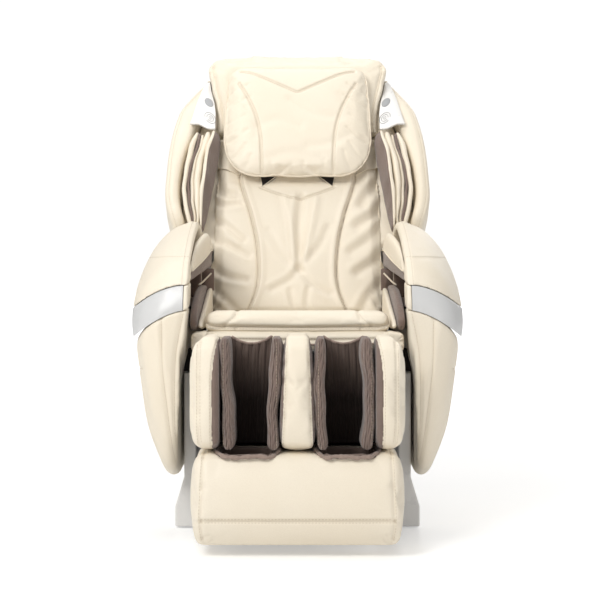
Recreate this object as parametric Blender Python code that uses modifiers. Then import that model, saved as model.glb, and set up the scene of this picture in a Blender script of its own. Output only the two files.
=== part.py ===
"""Full-body massage chair, in metres, +Z up.

The origin is on the floor under the middle of the base. The sitter faces -Y and +X is the right
side seen from the front. Each moving body hangs from an empty that stands on its joint's axis.
"""

import math

import bmesh
import bpy
from mathutils import Matrix, Vector

# ---- driving dimensions ---------------------------------------------------------------------
TILT_Y, TILT_Z = 0.06, 0.33  # seat frame pivot on the base
BACK_Y, BACK_Z = 0.14, 0.42  # backrest hinge on the seat frame
LEG_Y, LEG_Z = -0.44, 0.43  # leg rest hinge on the seat frame
BACK_ANGLE = math.radians(26)  # backrest lean from the vertical when upright
RUNNING_GAP = 0.0005  # radial clearance of a shaft in its ear
REST_GAP = 0.0004  # gap between pieces that rest on each other

BASE_HALF = 0.280  # outer face of the base covers
BASE_FRONT, BASE_REAR = -0.27, 0.36
SEAT_HALF = 0.226
SEAT_FRONT, SEAT_BACK = -0.375, 0.030
PLATE_IN, PLATE_OUT = 0.195, 0.206  # the seat frame's side plates
CALF_HALF, CALF_LOW, CALF_REAR = 0.234, 0.237, -0.462
CALF_PAD_IN = 0.174  # inner face of an outer calf pad
FOOT_HALF, FOOT_LOW, FOOT_HIGH = 0.235, 0.024, 0.232
ARM_FRONT, ARM_REAR = -0.440, 0.240
CUSHION_FRONT, CUSHION_BACK = -0.128, -0.095  # back cushion faces, in the backrest's frame
RAIL_X, RAIL_R = 0.120, 0.008  # the massage carriage's guide rails
CARRIAGE_S = 0.36  # carriage height along the back when parked
SIDES = 20  # sides of a round piece

# (y, z) of each linear drive's pin on the seat frame, and of the lever tip it reaches for
BACK_DRIVE_X, BACK_DRIVE, BACK_LEVER = 0.045, (-0.10, 0.345), (BACK_Y + 0.02, BACK_Z - 0.10)
LEG_DRIVE_X, LEG_DRIVE, LEG_LEVER = -0.085, (-0.12, 0.300), (LEG_Y + 0.02, LEG_Z - 0.12)

# ---- scene ----------------------------------------------------------------------------------
for old in list(bpy.data.objects):
    bpy.data.objects.remove(old)
chair = bpy.data.collections.new("massage_chair")
bpy.context.scene.collection.children.link(chair)
helpers = bpy.data.collections.new("cutters_and_joined_shapes")
helpers.hide_render = True
bpy.context.scene.collection.children.link(helpers)


def finish(name, rgb, roughness, metallic=0.0):
    """A Principled material."""
    made = bpy.data.materials.new(name)
    made.use_nodes = True
    shader = made.node_tree.nodes["Principled BSDF"]
    shader.inputs["Base Color"].default_value = (*rgb, 1.0)
    shader.inputs["Roughness"].default_value = roughness
    shader.inputs["Metallic"].default_value = metallic
    return made


LEATHER = finish("cream_leather", (0.86, 0.80, 0.69), 0.5)
FABRIC = finish("taupe_fabric", (0.20, 0.15, 0.125), 0.9)
WHITE = finish("white_plastic", (0.85, 0.84, 0.82), 0.3)
SILVER = finish("silver_trim", (0.70, 0.70, 0.69), 0.28, 0.35)
BLACK = finish("black_plastic", (0.02, 0.02, 0.02), 0.5)
STEEL = finish("painted_steel", (0.05, 0.05, 0.055), 0.4, 0.8)
CHROME = finish("chromed_steel", (0.75, 0.75, 0.76), 0.15, 1.0)
RUBBER = finish("rubber", (0.03, 0.03, 0.03), 0.85)


# ---- modelling helpers ----------------------------------------------------------------------
def pivot(name, y, z, parent=None, lean=0.0, x=0.0):
    """An empty on a joint's axis. y and z are in the parent's frame."""
    empty = bpy.data.objects.new(name, None)
    chair.objects.link(empty)
    empty.parent = parent
    empty.location = (x, y, z)
    empty.rotation_euler.x = lean
    return empty


def add(name, mesh, material, parent, offset=(0, 0, 0)):
    obj = bpy.data.objects.new(name, mesh)
    chair.objects.link(obj)
    obj.parent = parent
    obj.location = offset
    if material:
        mesh.materials.append(material)
    return obj


def mesh_of(bm):
    bmesh.ops.recalc_face_normals(bm, faces=bm.faces)
    mesh = bpy.data.meshes.new("shape")
    bm.to_mesh(mesh)
    bm.free()
    return mesh


def rounded(obj, width, segments=2):
    """Rounds the sharp edges."""
    bevel = obj.modifiers.new("rounding", "BEVEL")
    bevel.width = width
    bevel.segments = segments
    bevel.limit_method = "ANGLE"
    bevel.angle_limit = math.radians(40)
    obj.data.shade_smooth()
    obj.data.set_sharp_from_angle(angle=math.radians(45))
    return obj


def block(name, low, high, material=None, parent=None, rounding=0.0, segments=2):
    """A box between two corners."""
    low, high = Vector(low), Vector(high)
    bm = bmesh.new()
    bmesh.ops.create_cube(bm, size=1.0)
    bmesh.ops.scale(bm, vec=high - low, verts=bm.verts)
    bmesh.ops.translate(bm, vec=(low + high) / 2, verts=bm.verts)
    obj = add(name, mesh_of(bm), material, parent)
    return rounded(obj, rounding, segments) if rounding else obj


def rod(name, start, end, radius, material=None, parent=None, sides=SIDES, end_radius=None):
    """A round bar, or a cone with end_radius, between two points."""
    start, end = Vector(start), Vector(end)
    bm = bmesh.new()
    bmesh.ops.create_cone(
        bm,
        cap_ends=True,
        segments=sides,
        radius1=radius,
        radius2=end_radius or radius,
        depth=(end - start).length,
    )
    turn = (end - start).to_track_quat("Z", "Y").to_matrix()
    bmesh.ops.rotate(bm, matrix=turn, verts=bm.verts)
    bmesh.ops.translate(bm, vec=(start + end) / 2, verts=bm.verts)
    obj = add(name, mesh_of(bm), material, parent)
    obj.data.shade_smooth()
    obj.data.set_sharp_from_angle(angle=math.radians(40))
    return obj


def ball(name, centre, radius, material=None, parent=None):
    bm = bmesh.new()
    bmesh.ops.create_uvsphere(bm, u_segments=14, v_segments=8, radius=radius)
    bmesh.ops.translate(bm, vec=centre, verts=bm.verts)
    return add(name, mesh_of(bm), material, parent)


ACROSS = Matrix(((0, 0, 1, 0), (1, 0, 0, 0), (0, 1, 0, 0), (0, 0, 0, 1)))  # outline in y and z
ALONG = Matrix(((1, 0, 0, 0), (0, 0, -1, 0), (0, 1, 0, 0), (0, 0, 0, 1)))  # outline in x and z


def sheet(name, outline, thickness, placing):
    """A mesh of a flat outline with a thickness, filled as a 2D curve and then placed."""
    curve = bpy.data.curves.new(name, "CURVE")
    curve.dimensions = "2D"
    curve.fill_mode = "BOTH"
    curve.extrude = thickness / 2
    spline = curve.splines.new("POLY")
    spline.points.add(len(outline) - 1)
    for point, (u, v) in zip(spline.points, outline):
        point.co = (u, v, 0, 1)
    spline.use_cyclic_u = True
    drawn = bpy.data.objects.new(name, curve)
    mesh = bpy.data.meshes.new_from_object(drawn)
    bpy.data.objects.remove(drawn)
    mesh.transform(placing)
    bm = bmesh.new()
    bm.from_mesh(mesh)
    bmesh.ops.remove_doubles(bm, verts=bm.verts, dist=0.00001)
    bmesh.ops.dissolve_limit(bm, angle_limit=0.001, verts=bm.verts, edges=bm.edges)
    return mesh_of(bm)


def slab(name, outline, low_x, high_x, material=None, parent=None, rounding=0.0, segments=2):
    """An outline of (y, z) points, cut from a sheet that spans low_x to high_x."""
    placing = Matrix.Translation(((low_x + high_x) / 2, 0, 0)) @ ACROSS
    obj = add(name, sheet(name, outline, high_x - low_x, placing), material, parent)
    return rounded(obj, rounding, segments) if rounding else obj


def panel(name, outline, low_y, high_y, material=None, parent=None, rounding=0.0, segments=2):
    """An outline of (x, z) points, cut from a sheet that spans low_y to high_y."""
    placing = Matrix.Translation((0, (low_y + high_y) / 2, 0)) @ ALONG
    obj = add(name, sheet(name, outline, high_y - low_y, placing), material, parent)
    return rounded(obj, rounding, segments) if rounding else obj


def loft(name, rings, material=None, parent=None, rounding=0.0):
    """A closed skin through rings of equal length, capped at both ends."""
    bm = bmesh.new()
    rows = [[bm.verts.new(p) for p in ring] for ring in rings]
    count = len(rows[0])
    for near, far in zip(rows, rows[1:]):
        for i in range(count):
            j = (i + 1) % count
            bm.faces.new((near[i], near[j], far[j], far[i]))
    bm.faces.new(rows[0])
    bm.faces.new(reversed(rows[-1]))
    obj = add(name, mesh_of(bm), material, parent)
    obj.data.shade_smooth()
    return rounded(obj, rounding) if rounding else obj


def boolean(target, tools, operation):
    for tool in tools:
        modifier = target.modifiers.new(operation.lower(), "BOOLEAN")
        modifier.operation = operation
        modifier.object = tool
        tool.hide_render = True
        tool.display_type = "WIRE"
        chair.objects.unlink(tool)
        helpers.objects.link(tool)
    return target


def weld(target, *tools):
    """Joins the tools to the target as one solid."""
    return boolean(target, tools, "UNION")


def cut(target, *tools):
    return boolean(target, tools, "DIFFERENCE")


def ramp(value, table):
    """Straight-line reading of a table of (position, reading) pairs."""
    if value <= table[0][0]:
        return table[0][1]
    for (a, low), (b, high) in zip(table, table[1:]):
        if value <= b:
            return low + (high - low) * (value - a) / (b - a)
    return table[-1][1]


def sided(side, low_x, high_x):
    """The (low, high) of an x range that is mirrored to the left when side is -1."""
    return (low_x, high_x) if side > 0 else (-high_x, -low_x)


def pair(label, build):
    """Builds the left and the right copy of a piece."""
    for side, word in ((-1, "left"), (1, "right")):
        build(f"{label}_{word}", side)


# ---- pivots ---------------------------------------------------------------------------------
seat_pivot = pivot("seat_tilt_axis", TILT_Y, TILT_Z)
back_pivot = pivot("back_hinge_axis", BACK_Y - TILT_Y, BACK_Z - TILT_Z, seat_pivot, -BACK_ANGLE)
leg_pivot = pivot("leg_hinge_axis", LEG_Y - TILT_Y, LEG_Z - TILT_Z, seat_pivot)
seat = pivot("seat_frame_space", -TILT_Y, -TILT_Z, seat_pivot)  # chair coordinates on the seat body
leg = pivot("leg_rest_space", -LEG_Y, -LEG_Z, leg_pivot)  # chair coordinates on the leg rest body


# ---- base -----------------------------------------------------------------------------------
def base_frame():
    """Two floor rails, three cross bars and the uprights that carry the seat frame's pivots."""
    rail_z = (0.019, 0.055)
    frame = block("base_frame", (-0.242, -0.25, rail_z[0]), (-0.206, 0.35, rail_z[1]), STEEL)
    parts = [block("rail", (0.206, -0.25, rail_z[0]), (0.242, 0.35, rail_z[1]))]
    for y in (-0.22, 0.04, 0.25):
        parts.append(block("cross_bar", (-0.24, y, 0.022), (0.24, y + 0.036, 0.052)))
    for side in (-1, 1):
        low, high = sided(side, 0.2215, 0.2405)
        parts.append(block("upright", (low, 0.03, 0.03), (high, 0.09, 0.358)))
        low, high = sided(side, 0.223, 0.239)
        parts.append(block("brace", (low, -0.23, 0.03), (high, -0.19, 0.30)))
        parts.append(block("top_bar", (low, -0.21, 0.27), (high, 0.06, 0.298)))
        axle = (0.19 * side, 0.335, 0.045)
        parts.append(rod("stub_axle", axle, (0.168 * side, 0.335, 0.045), 0.006))
        low, high = sided(side, 0.186, 0.208)
        parts.append(block("axle_plate", (low, 0.322, 0.03), (high, 0.349, 0.058)))
    weld(frame, *parts)
    bore = rod("pivot_bore", (-0.3, TILT_Y, TILT_Z), (0.3, TILT_Y, TILT_Z), 0.0115 + RUNNING_GAP)
    cut(frame, bore)


def base_cover(name, side):
    """Upright side cover with a foot that flares out at the floor."""
    foot_x, waist_z, toe_z, low_z = 0.302, 0.127, 0.054, 0.004
    section = [(0.250, low_z), (foot_x, low_z), (foot_x, toe_z), (BASE_HALF, waist_z)]
    section += [(BASE_HALF, 0.385), (0.250, 0.385)]
    cover = panel(name, [(side * x, z) for x, z in section], BASE_FRONT, BASE_REAR, WHITE)
    falling_edge = [(-0.08, 0.40), (-0.06, 0.375), (0.10, 0.245), (0.28, 0.20), (0.34, 0.12)]
    falling_edge += [(0.37, 0.06), (0.40, 0.06), (0.40, 0.40)]
    cut(cover, slab("rear_slope", falling_edge, *sided(side, 0.24, 0.31)))
    rounded(cover, 0.004)


def base_fittings():
    for y, end in ((-0.235, "front"), (0.27, "rear")):
        for side, word in ((-1, "left"), (1, "right")):
            x = 0.224 * side
            rod(f"foot_pad_{end}_{word}", (x, y, 0), (x, y, 0.0186), 0.020, RUBBER, end_radius=0.016)
    rear = block("rear_cover", (-0.20, 0.366, 0.030), (0.20, 0.376, 0.235), BLACK, rounding=0.004)
    cut(rear, block("switch_hole", (0.105, 0.35, 0.145), (0.135, 0.40, 0.165)))
    inlet = block("inlet_frame", (0.040, 0.372, 0.137), (0.085, 0.382, 0.173))
    weld(rear, inlet)
    cut(rear, block("inlet_recess", (0.047, 0.3765, 0.144), (0.078, 0.40, 0.166)))
    weld(rear, block("cover_foot", (-0.15, 0.3504, 0.0335), (0.15, 0.370, 0.048)))
    power = block("power_and_air_unit", (-0.175, 0.085, 0.0525), (0.175, 0.29, 0.065), BLACK)
    supply = block("supply", (0.025, 0.09, 0.060), (0.170, 0.285, 0.165), rounding=0.008)
    pump = block("pump", (-0.170, 0.09, 0.060), (-0.025, 0.285, 0.145), rounding=0.010)
    weld(power, supply, pump, rod("hose_outlet", (-0.10, 0.12, 0.13), (-0.10, 0.12, 0.175), 0.009))

base_frame()
pair("base_cover", base_cover)
base_fittings()

switch_pivot = pivot("switch_axis", 0.371, 0.155, lean=math.radians(-6), x=0.120)
switch_shape = [(-0.003, -0.0092), (-0.003, 0.0092), (0.003, 0.0092), (0.008, 0.0), (0.003, -0.0092)]
slab("power_switch", switch_shape, -0.0135, 0.0135, BLACK, switch_pivot)


def transport_wheel(name, side):
    axis = pivot(f"{name}_axis", 0.335, 0.045, x=0.176 * side)
    wheel = rod(name, (-0.007, 0, 0), (0.007, 0, 0), 0.028, RUBBER, axis, sides=24)
    cut(rounded(wheel, 0.003), rod("wheel_bore", (-0.02, 0, 0), (0.02, 0, 0), 0.0065, None, axis))


pair("transport_wheel", transport_wheel)


# ---- seat frame and seat --------------------------------------------------------------------
def seat_frame():
    """Side plates with an ear at each pivot, cross tubes, the seat pan and the arm brackets."""
    plate = [(-0.457, 0.416), (-0.457, 0.438), (-0.45, 0.444), (-0.40, 0.445), (-0.28, 0.425), (0.09, 0.436)]
    plate += [(0.13, 0.448), (0.15, 0.448), (0.165, 0.435), (0.165, 0.400), (0.12, 0.38)]
    plate += [(0.088, 0.31), (0.03, 0.31), (0.0, 0.365), (-0.28, 0.375), (-0.40, 0.395)]
    frame = slab("seat_frame", plate, -PLATE_OUT, -PLATE_IN, STEEL, seat)
    parts = [slab("plate", plate, PLATE_IN, PLATE_OUT, None, seat)]
    for y, z in ((-0.30, 0.395), (-0.20, 0.394), (0.0, 0.395)):
        parts.append(rod("cross_tube", (-0.2, y, z), (0.2, y, z), 0.011, None, seat, sides=12))
    parts.append(block("seat_pan", (-0.20, -0.33, 0.402), (0.20, 0.02, 0.414), None, seat))
    for side in (-1, 1):
        low, high = sided(side, 0.200, 0.272)
        parts.append(block("arm_bracket", (low, -0.24, 0.400), (high, -0.02, 0.418), None, seat))
        start, end = (0.197 * side, TILT_Y, TILT_Z), (0.236 * side, TILT_Y, TILT_Z)
        parts.append(rod("tilt_stub", start, end, 0.0115, None, seat))
    for y, z in (BACK_DRIVE, LEG_DRIVE):  # hangers for the two actuators
        for side in (-1, 1):
            x = BACK_DRIVE_X if (y, z) == BACK_DRIVE else LEG_DRIVE_X
            low, high = x + side * 0.019, x + side * 0.024
            hanger = [(y - 0.012, z - 0.014), (y + 0.012, z - 0.014), (y + 0.03, 0.405), (y - 0.03, 0.405)]
            parts.append(slab("hanger", hanger, min(low, high), max(low, high), None, seat))
        parts.append(rod("hanger_pin", (x - 0.022, y, z), (x + 0.022, y, z), 0.005, None, seat, 12))
    weld(frame, *parts)
    for name, y, z in (("back", BACK_Y, BACK_Z), ("leg", LEG_Y, LEG_Z)):
        bore = rod(f"{name}_bore", (-0.3, y, z), (0.3, y, z), 0.010 + RUNNING_GAP, None, seat)
        cut(frame, bore)


def seat_upholstery():
    side_view = [(SEAT_FRONT, 0.492), (SEAT_FRONT, 0.520), (-0.355, 0.534), (-0.20, 0.520)]
    side_view += [(SEAT_BACK, 0.497), (SEAT_BACK, 0.455), (-0.20, 0.468), (-0.34, 0.487)]
    slab("seat_cushion", side_view, -SEAT_HALF, SEAT_HALF, LEATHER, seat, rounding=0.010, segments=3)
    skirt = [(-0.385, 0.450), (-0.390, 0.470), (-0.380, 0.486), (-0.34, 0.482), (-0.20, 0.4635)]
    skirt += [(0.02, 0.4505), (0.02, 0.4185), (-0.33, 0.4185), (-0.335, 0.448)]
    pad = slab("seat_skirt", skirt, -0.250, 0.250, LEATHER, seat)
    for side in (-1, 1):
        low, high = sided(side, 0.190, 0.30)
        cut(pad, block("plate_room", (low, -0.42, 0.40), (high, 0.10, 0.4495), None, seat))


seat_frame()
seat_upholstery()


# ---- arms -----------------------------------------------------------------------------------
ARM_OUTLINE = [  # front view of the fullest section, from the top down the outer side and up the inner
    (0.262, 0.763), (0.300, 0.758), (0.334, 0.740), (0.366, 0.706), (0.388, 0.668), (0.404, 0.628),
    (0.413, 0.583), (0.412, 0.540), (0.404, 0.490), (0.392, 0.386), (0.374, 0.262), (0.343, 0.166),
    (0.322, 0.128), (0.298, 0.126), (0.289, 0.165), (0.287, 0.380), (0.270, 0.470), (0.264, 0.560),
    (0.257, 0.680),
]
ARM_INNER, ARM_LOW, ARM_HIGH = 0.257, 0.126, 0.763
ARM_TOP = [(-0.44, 0.560), (-0.42, 0.600), (-0.38, 0.640), (-0.28, 0.692), (-0.15, 0.738)]
ARM_TOP += [(-0.02, 0.763), (0.05, 0.755), (0.09, 0.735), (0.13, 0.693), (0.19, 0.655), (0.24, 0.56)]
ARM_BOTTOM = [(-0.44, 0.36), (-0.42, 0.27), (-0.38, 0.195), (-0.28, 0.139), (-0.15, 0.126)]
ARM_BOTTOM += [(-0.02, 0.136), (0.09, 0.185), (0.19, 0.275), (0.24, 0.38)]
ARM_FULLNESS = [(-0.44, 0.52), (-0.42, 0.70), (-0.38, 0.84), (-0.28, 0.95), (-0.15, 1.0)]
ARM_FULLNESS += [(0.0, 1.0), (0.09, 0.95), (0.19, 0.78), (0.24, 0.50)]
ARM_STATIONS = [-0.44, -0.42, -0.38, -0.28, -0.15, -0.02, 0.05, 0.09, 0.13, 0.19, 0.24]


def arm_ring(side, y, outline=ARM_OUTLINE):
    """A section of the arm at y: the outline squeezed between the side view's top and bottom."""
    low, high, full = ramp(y, ARM_BOTTOM), ramp(y, ARM_TOP), ramp(y, ARM_FULLNESS)
    ring = []
    for x, z in outline:
        share = (z - ARM_LOW) / (ARM_HIGH - ARM_LOW)
        ring.append((side * (ARM_INNER + (x - ARM_INNER) * full), y, low + share * (high - low)))
    return ring


def band_height(x, y):
    """Middle height of the trim band: level at the inner edge, falling outward, rising rearward."""
    out = max(0.0, (abs(x) - 0.26) / 0.15)
    return 0.566 - 0.075 * out * out + 0.09 * (y - ARM_FRONT)


def band_zone(name, side, low, high):
    """A sheet-shaped solid that fills the arm between two heights above the band's middle line."""
    xs = [0.20, 0.26, 0.30, 0.335, 0.37, 0.40, 0.45]
    rings = []
    for y in (ARM_FRONT - 0.03, -0.20, 0.05, ARM_REAR + 0.03):
        upper = [(side * x, y, band_height(x, y) + high) for x in xs]
        lower = [(side * x, y, band_height(x, y) + low) for x in reversed(xs)]
        rings.append(upper + lower)
    return loft(name, rings, None, seat)


def arm_piece(name, side, material, grow=1.0):
    rings = [arm_ring(side, y) for y in ARM_STATIONS]
    middle = Vector((side * ARM_INNER, -0.1, 0.53))
    if grow != 1.0:
        rings = [[middle + (Vector(p) - middle) * grow for p in ring] for ring in rings]
    return loft(name, rings, material, seat)


BAND_HALF = 0.0335  # half the trim band's height
PAD_LOW, PAD_HIGH = 0.545, 0.562  # the forearm pad's faces
FOREARM_ROOM = [(0.20, 0.737), (0.285, 0.733), (0.320, 0.716), (0.350, 0.680), (0.370, 0.635), (0.375, 0.56)]
FOREARM_ROOM += [(0.345, 0.45), (0.20, 0.45)]


def pad_room(side):
    low, high = sided(side, 0.20, 0.340)
    return block("pad_room", (low, -0.341, PAD_LOW - REST_GAP), (high, 0.101, 0.80), None, seat)


def arm_upper(name, side):
    """The padded hood over the forearm, open towards the seat."""
    hood = arm_piece(name, side, LEATHER)
    cut(hood, band_zone("below_hood", side, -0.60, BAND_HALF + REST_GAP))
    rings = [arm_ring(side, y, FOREARM_ROOM) for y in (-0.35, -0.28, -0.15, -0.02, 0.05, 0.10)]
    cut(hood, loft("forearm_room", rings, None, seat))


def arm_band(name, side):
    """The trim that separates the hood from the side panel and carries the forearm pad."""
    band = arm_piece(name, side, SILVER, grow=1.010)
    cut(band, band_zone("above_band", side, BAND_HALF, 0.60))
    cut(band, band_zone("below_band", side, -0.60, -BAND_HALF))
    cut(band, pad_room(side))


def arm_lower(name, side):
    lower = arm_piece(name, side, LEATHER)
    cut(lower, band_zone("above_panel", side, -BAND_HALF - REST_GAP, 0.60))
    cut(lower, pad_room(side))


def forearm_pad(name, side):
    rings = []
    for y, outer, top in ((-0.33, 0.306, PAD_HIGH - 0.004), (-0.20, 0.334, PAD_HIGH), (0.094, 0.337, PAD_HIGH)):
        section = [(0.2615, PAD_LOW), (outer, PAD_LOW), (outer, top), (0.2615, top)]
        rings.append([(side * x, y, z) for x, z in section])
    loft(name, rings, FABRIC, seat, rounding=0.004)


def forearm_airbag(name, side):
    """The flap that hangs inside the hood's mouth and presses the forearm from above."""
    low, high = sided(side, 0.229, 0.253)
    flap = [(-0.335, 0.610), (-0.335, 0.638), (-0.28, 0.670), (-0.19, 0.702), (-0.05, 0.735)]
    flap += [(0.06, 0.725), (0.085, 0.68), (0.06, 0.635), (-0.10, 0.622)]
    slab(name, flap, low, high, FABRIC, seat, rounding=0.007)


def hip_pad(name, side):
    low, high = sided(side, 0.2285, 0.2530)
    pad = [(-0.35, 0.490), (-0.345, 0.545), (-0.20, 0.590), (0.0, 0.600), (0.04, 0.575), (0.04, 0.490)]
    slab(name, pad, low, high, FABRIC, seat, rounding=0.007)


pair("arm_upper", arm_upper)
pair("arm_band", arm_band)
pair("arm_lower", arm_lower)
pair("forearm_pad", forearm_pad)
pair("forearm_airbag", forearm_airbag)
pair("hip_pad", hip_pad)


# ---- actuators ------------------------------------------------------------------------------
def actuator(label, x, near, far, tube_length, rod_start):
    """A linear drive: a tube on the seat frame's hanger and a rod that reaches for a clevis."""
    along = Vector((0, far[0] - near[0], far[1] - near[1]))
    length = along.length
    lean = math.atan2(along.z, along.y)
    axis = pivot(f"{label}_actuator_axis", near[0], near[1], seat, lean, x)
    tube = rod(f"{label}_actuator_tube", (0, 0.016, 0), (0, tube_length, 0), 0.017, BLACK, axis)
    weld(tube, rod("eye", (-0.010, 0, 0), (0.010, 0, 0), 0.013, None, axis))
    weld(tube, block("neck", (-0.008, 0.005, -0.008), (0.008, 0.03, 0.008), None, axis))
    motor = rod("motor", (0, 0.034, -0.029), (0, tube_length * 0.75, -0.029), 0.015, None, axis)
    weld(tube, motor, block("gearbox", (-0.014, 0.020, -0.045), (0.014, 0.046, 0.012), None, axis))
    cut(tube, rod("eye_bore", (-0.03, 0, 0), (0.03, 0, 0), 0.0055, None, axis, 12))
    cut(tube, rod("barrel", (0, 0.055, 0), (0, 1.0, 0), 0.0095, None, axis, 16))
    piston = rod(f"{label}_actuator_rod", (0, rod_start, 0), (0, length - 0.010, 0), 0.0085, CHROME, axis, 16)
    weld(piston, rod("rod_eye", (-0.006, length, 0), (0.006, length, 0), 0.014, None, axis, 16))
    cut(piston, rod("rod_eye_bore", (-0.03, length, 0), (0.03, length, 0), 0.006, None, axis, 12))


actuator("back", BACK_DRIVE_X, BACK_DRIVE, BACK_LEVER, 0.165, 0.138)
actuator("leg", LEG_DRIVE_X, LEG_DRIVE, LEG_LEVER, 0.270, 0.058)


# ---- backrest: everything below is in its own frame, +Z along the back and -Y to the sitter --
def back_frame():
    """Side bars, cross bars, guide rails, the hinge shaft and the recline lever."""
    frame = block("back_frame", (-0.190, 0.004, -0.015), (-0.168, 0.030, 0.845), STEEL, back_pivot)
    parts = [block("side_bar", (0.168, 0.004, -0.015), (0.190, 0.030, 0.845), None, back_pivot)]
    for s in (0.055, 0.815):
        parts.append(block("cross_bar", (-0.18, -0.012, s), (0.18, 0.028, s + 0.028), None, back_pivot))
    parts.append(rod("hinge_shaft", (-0.213, 0, 0), (0.213, 0, 0), 0.010, None, back_pivot))
    for x in (-RAIL_X, RAIL_X):
        parts.append(rod("rail", (x, 0, 0.06), (x, 0, 0.83), RAIL_R, None, back_pivot, 16))
    turn = math.radians(90) - math.atan2(BACK_LEVER[1] - BACK_Z, BACK_LEVER[0] - BACK_Y) - BACK_ANGLE
    reach = math.hypot(BACK_LEVER[0] - BACK_Y, BACK_LEVER[1] - BACK_Z)
    tip = Vector((0, math.sin(turn), math.cos(turn))) * reach
    across = Vector((0, tip.z, -tip.y)).normalized() * 0.014
    for x in (0.030, 0.055):
        corners = [across * 0.8, -across * 0.8, tip * 1.12 - across, tip * 1.12 + across]
        lever = [(c.y, c.z) for c in corners]
        parts.append(slab("lever", lever, x, x + 0.005, None, back_pivot))
    weld(frame, *parts)
    hole = rod("screw_hole", (0, 0, 0.04), (0, 0, 0.86), 0.0085, None, back_pivot)
    cut(frame, hole)


BACK_WIDTH = [(-0.02, 0.205), (0.15, 0.226), (0.265, 0.243), (0.30, 0.338), (0.34, 0.358), (0.42, 0.366)]
BACK_WIDTH += [(0.50, 0.364), (0.58, 0.358), (0.652, 0.348), (0.72, 0.325), (0.785, 0.282), (0.82, 0.254)]
BACK_WIDTH += [(0.862, 0.240)]
SHELL_DEPTH = [(-0.02, 0.030), (0.15, 0.072), (0.30, 0.102), (0.58, 0.117), (0.862, 0.1183)]


def back_shell():
    """The moulded rear cover, a bowed sheet with a wall."""
    columns, wall = 12, 0.006
    bm = bmesh.new()
    rows = []
    for s, half in BACK_WIDTH:
        row = []
        for i in range(columns + 1):
            u = 2 * i / columns - 1
            depth = ramp(s, SHELL_DEPTH) * (1 - abs(u) ** 2.6)
            row.append(bm.verts.new((u * half, 0.048 + depth, s)))
        rows.append(row)
    for near, far in zip(rows, rows[1:]):
        for i in range(columns):
            bm.faces.new((near[i], near[i + 1], far[i + 1], far[i]))
    mesh = bpy.data.meshes.new("shell")
    bm.to_mesh(mesh)
    bm.free()
    shell = add("back_shell", mesh, WHITE, back_pivot)
    skin = shell.modifiers.new("wall", "SOLIDIFY")
    skin.thickness = wall
    skin.offset = 0.0
    shell.data.shade_smooth()


WING_FRONT = [(0.28, -0.118), (0.31, -0.160), (0.37, -0.178), (0.46, -0.184), (0.54, -0.172), (0.60, -0.157)]
WING_FRONT += [(0.652, -0.140), (0.70, -0.122), (0.745, -0.100), (0.780, -0.080), (0.81, -0.062), (0.838, -0.044)]
WING_INNER = [(0.28, 0.298), (0.31, 0.308), (0.37, 0.324), (0.46, 0.324), (0.59, 0.2976), (0.65, 0.283)]
WING_INNER += [(0.705, 0.265), (0.755, 0.2515), (0.80, 0.2545), (0.838, 0.2640)]
WING_OUTER = [(0.28, 0.335), (0.31, 0.348), (0.37, 0.3655), (0.46, 0.366), (0.54, 0.3625), (0.60, 0.357)]
WING_OUTER += [(0.652, 0.3495), (0.70, 0.3395), (0.745, 0.3215), (0.780, 0.3060), (0.81, 0.2920), (0.838, 0.2740)]
PANEL_SLOPE, PANEL_WALL = 0.45, 0.0085


def wing(name, side):
    """The padded side that curves forward beside the shoulders."""
    rings = []
    for s, front in WING_FRONT:
        inner, outer, rear = ramp(s, WING_INNER), ramp(s, WING_OUTER), 0.036
        soft = min(0.012, (outer - inner) * 0.35)
        ring = [(inner, rear), (inner, front + soft), (inner + soft, front), (outer - soft, front)]
        ring += [(outer, front + soft * 1.6), (outer, rear - 0.02), (outer - 0.008, rear)]
        rings.append([(side * x, y, s) for x, y in ring])
    loft(name, rings, LEATHER, back_pivot)


def speaker_panel(name, side):
    """White panel on the front of the wing with a speaker grille and a round lens."""
    outline = [(0.2540, 0.806), (0.2410, 0.735), (0.2325, 0.660), (0.2325, 0.606), (0.262, 0.606)]
    outline += [(0.280, 0.621), (0.306, 0.623), (0.2955, 0.665), (0.2810, 0.715), (0.2680, 0.790)]
    face = lambda s: -0.1315 + PANEL_SLOPE * (s - 0.70)
    rings = []
    for depth in (0.0, PANEL_WALL):
        rings.append([(side * x, face(s) + depth, s) for x, s in outline])
    plate = loft(name, rings, WHITE, back_pivot)
    for s, r in ((0.650, 0.017), (0.714, 0.011)):
        near, far = (side * 0.256, face(s) - 0.0025, s), (side * 0.256, face(s) + 0.004, s)
        weld(plate, rod("grille", near, far, r, None, back_pivot))


# (height, nearest x, farthest x, front face) of the outer and the inner shoulder airbag
SHOULDER_OUTER = [(0.292, 0.274, 0.2990, -0.150), (0.33, 0.272, 0.3080, -0.178), (0.40, 0.272, 0.3165, -0.196)]
SHOULDER_OUTER += [(0.50, 0.270, 0.3120, -0.196), (0.57, 0.268, 0.2960, -0.180), (0.598, 0.266, 0.2860, -0.155)]
SHOULDER_INNER = [(0.292, 0.232, 0.266, -0.150), (0.33, 0.228, 0.266, -0.180), (0.40, 0.226, 0.264, -0.206)]
SHOULDER_INNER += [(0.50, 0.224, 0.262, -0.206), (0.57, 0.223, 0.262, -0.184), (0.598, 0.223, 0.260, -0.155)]


def shoulder_airbag(name, side, table):
    """A bag beside the shoulder that follows the wing's curve."""
    rear = -0.1315
    rings = []
    for s, low, high, front in table:
        section = [(low, rear), (low, front + 0.006), (low + 0.006, front), (high - 0.006, front)]
        section += [(high, front + 0.006), (high, rear)]
        rings.append([(side * x, y, s) for x, y in section])
    loft(name, rings, FABRIC, back_pivot)


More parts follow.
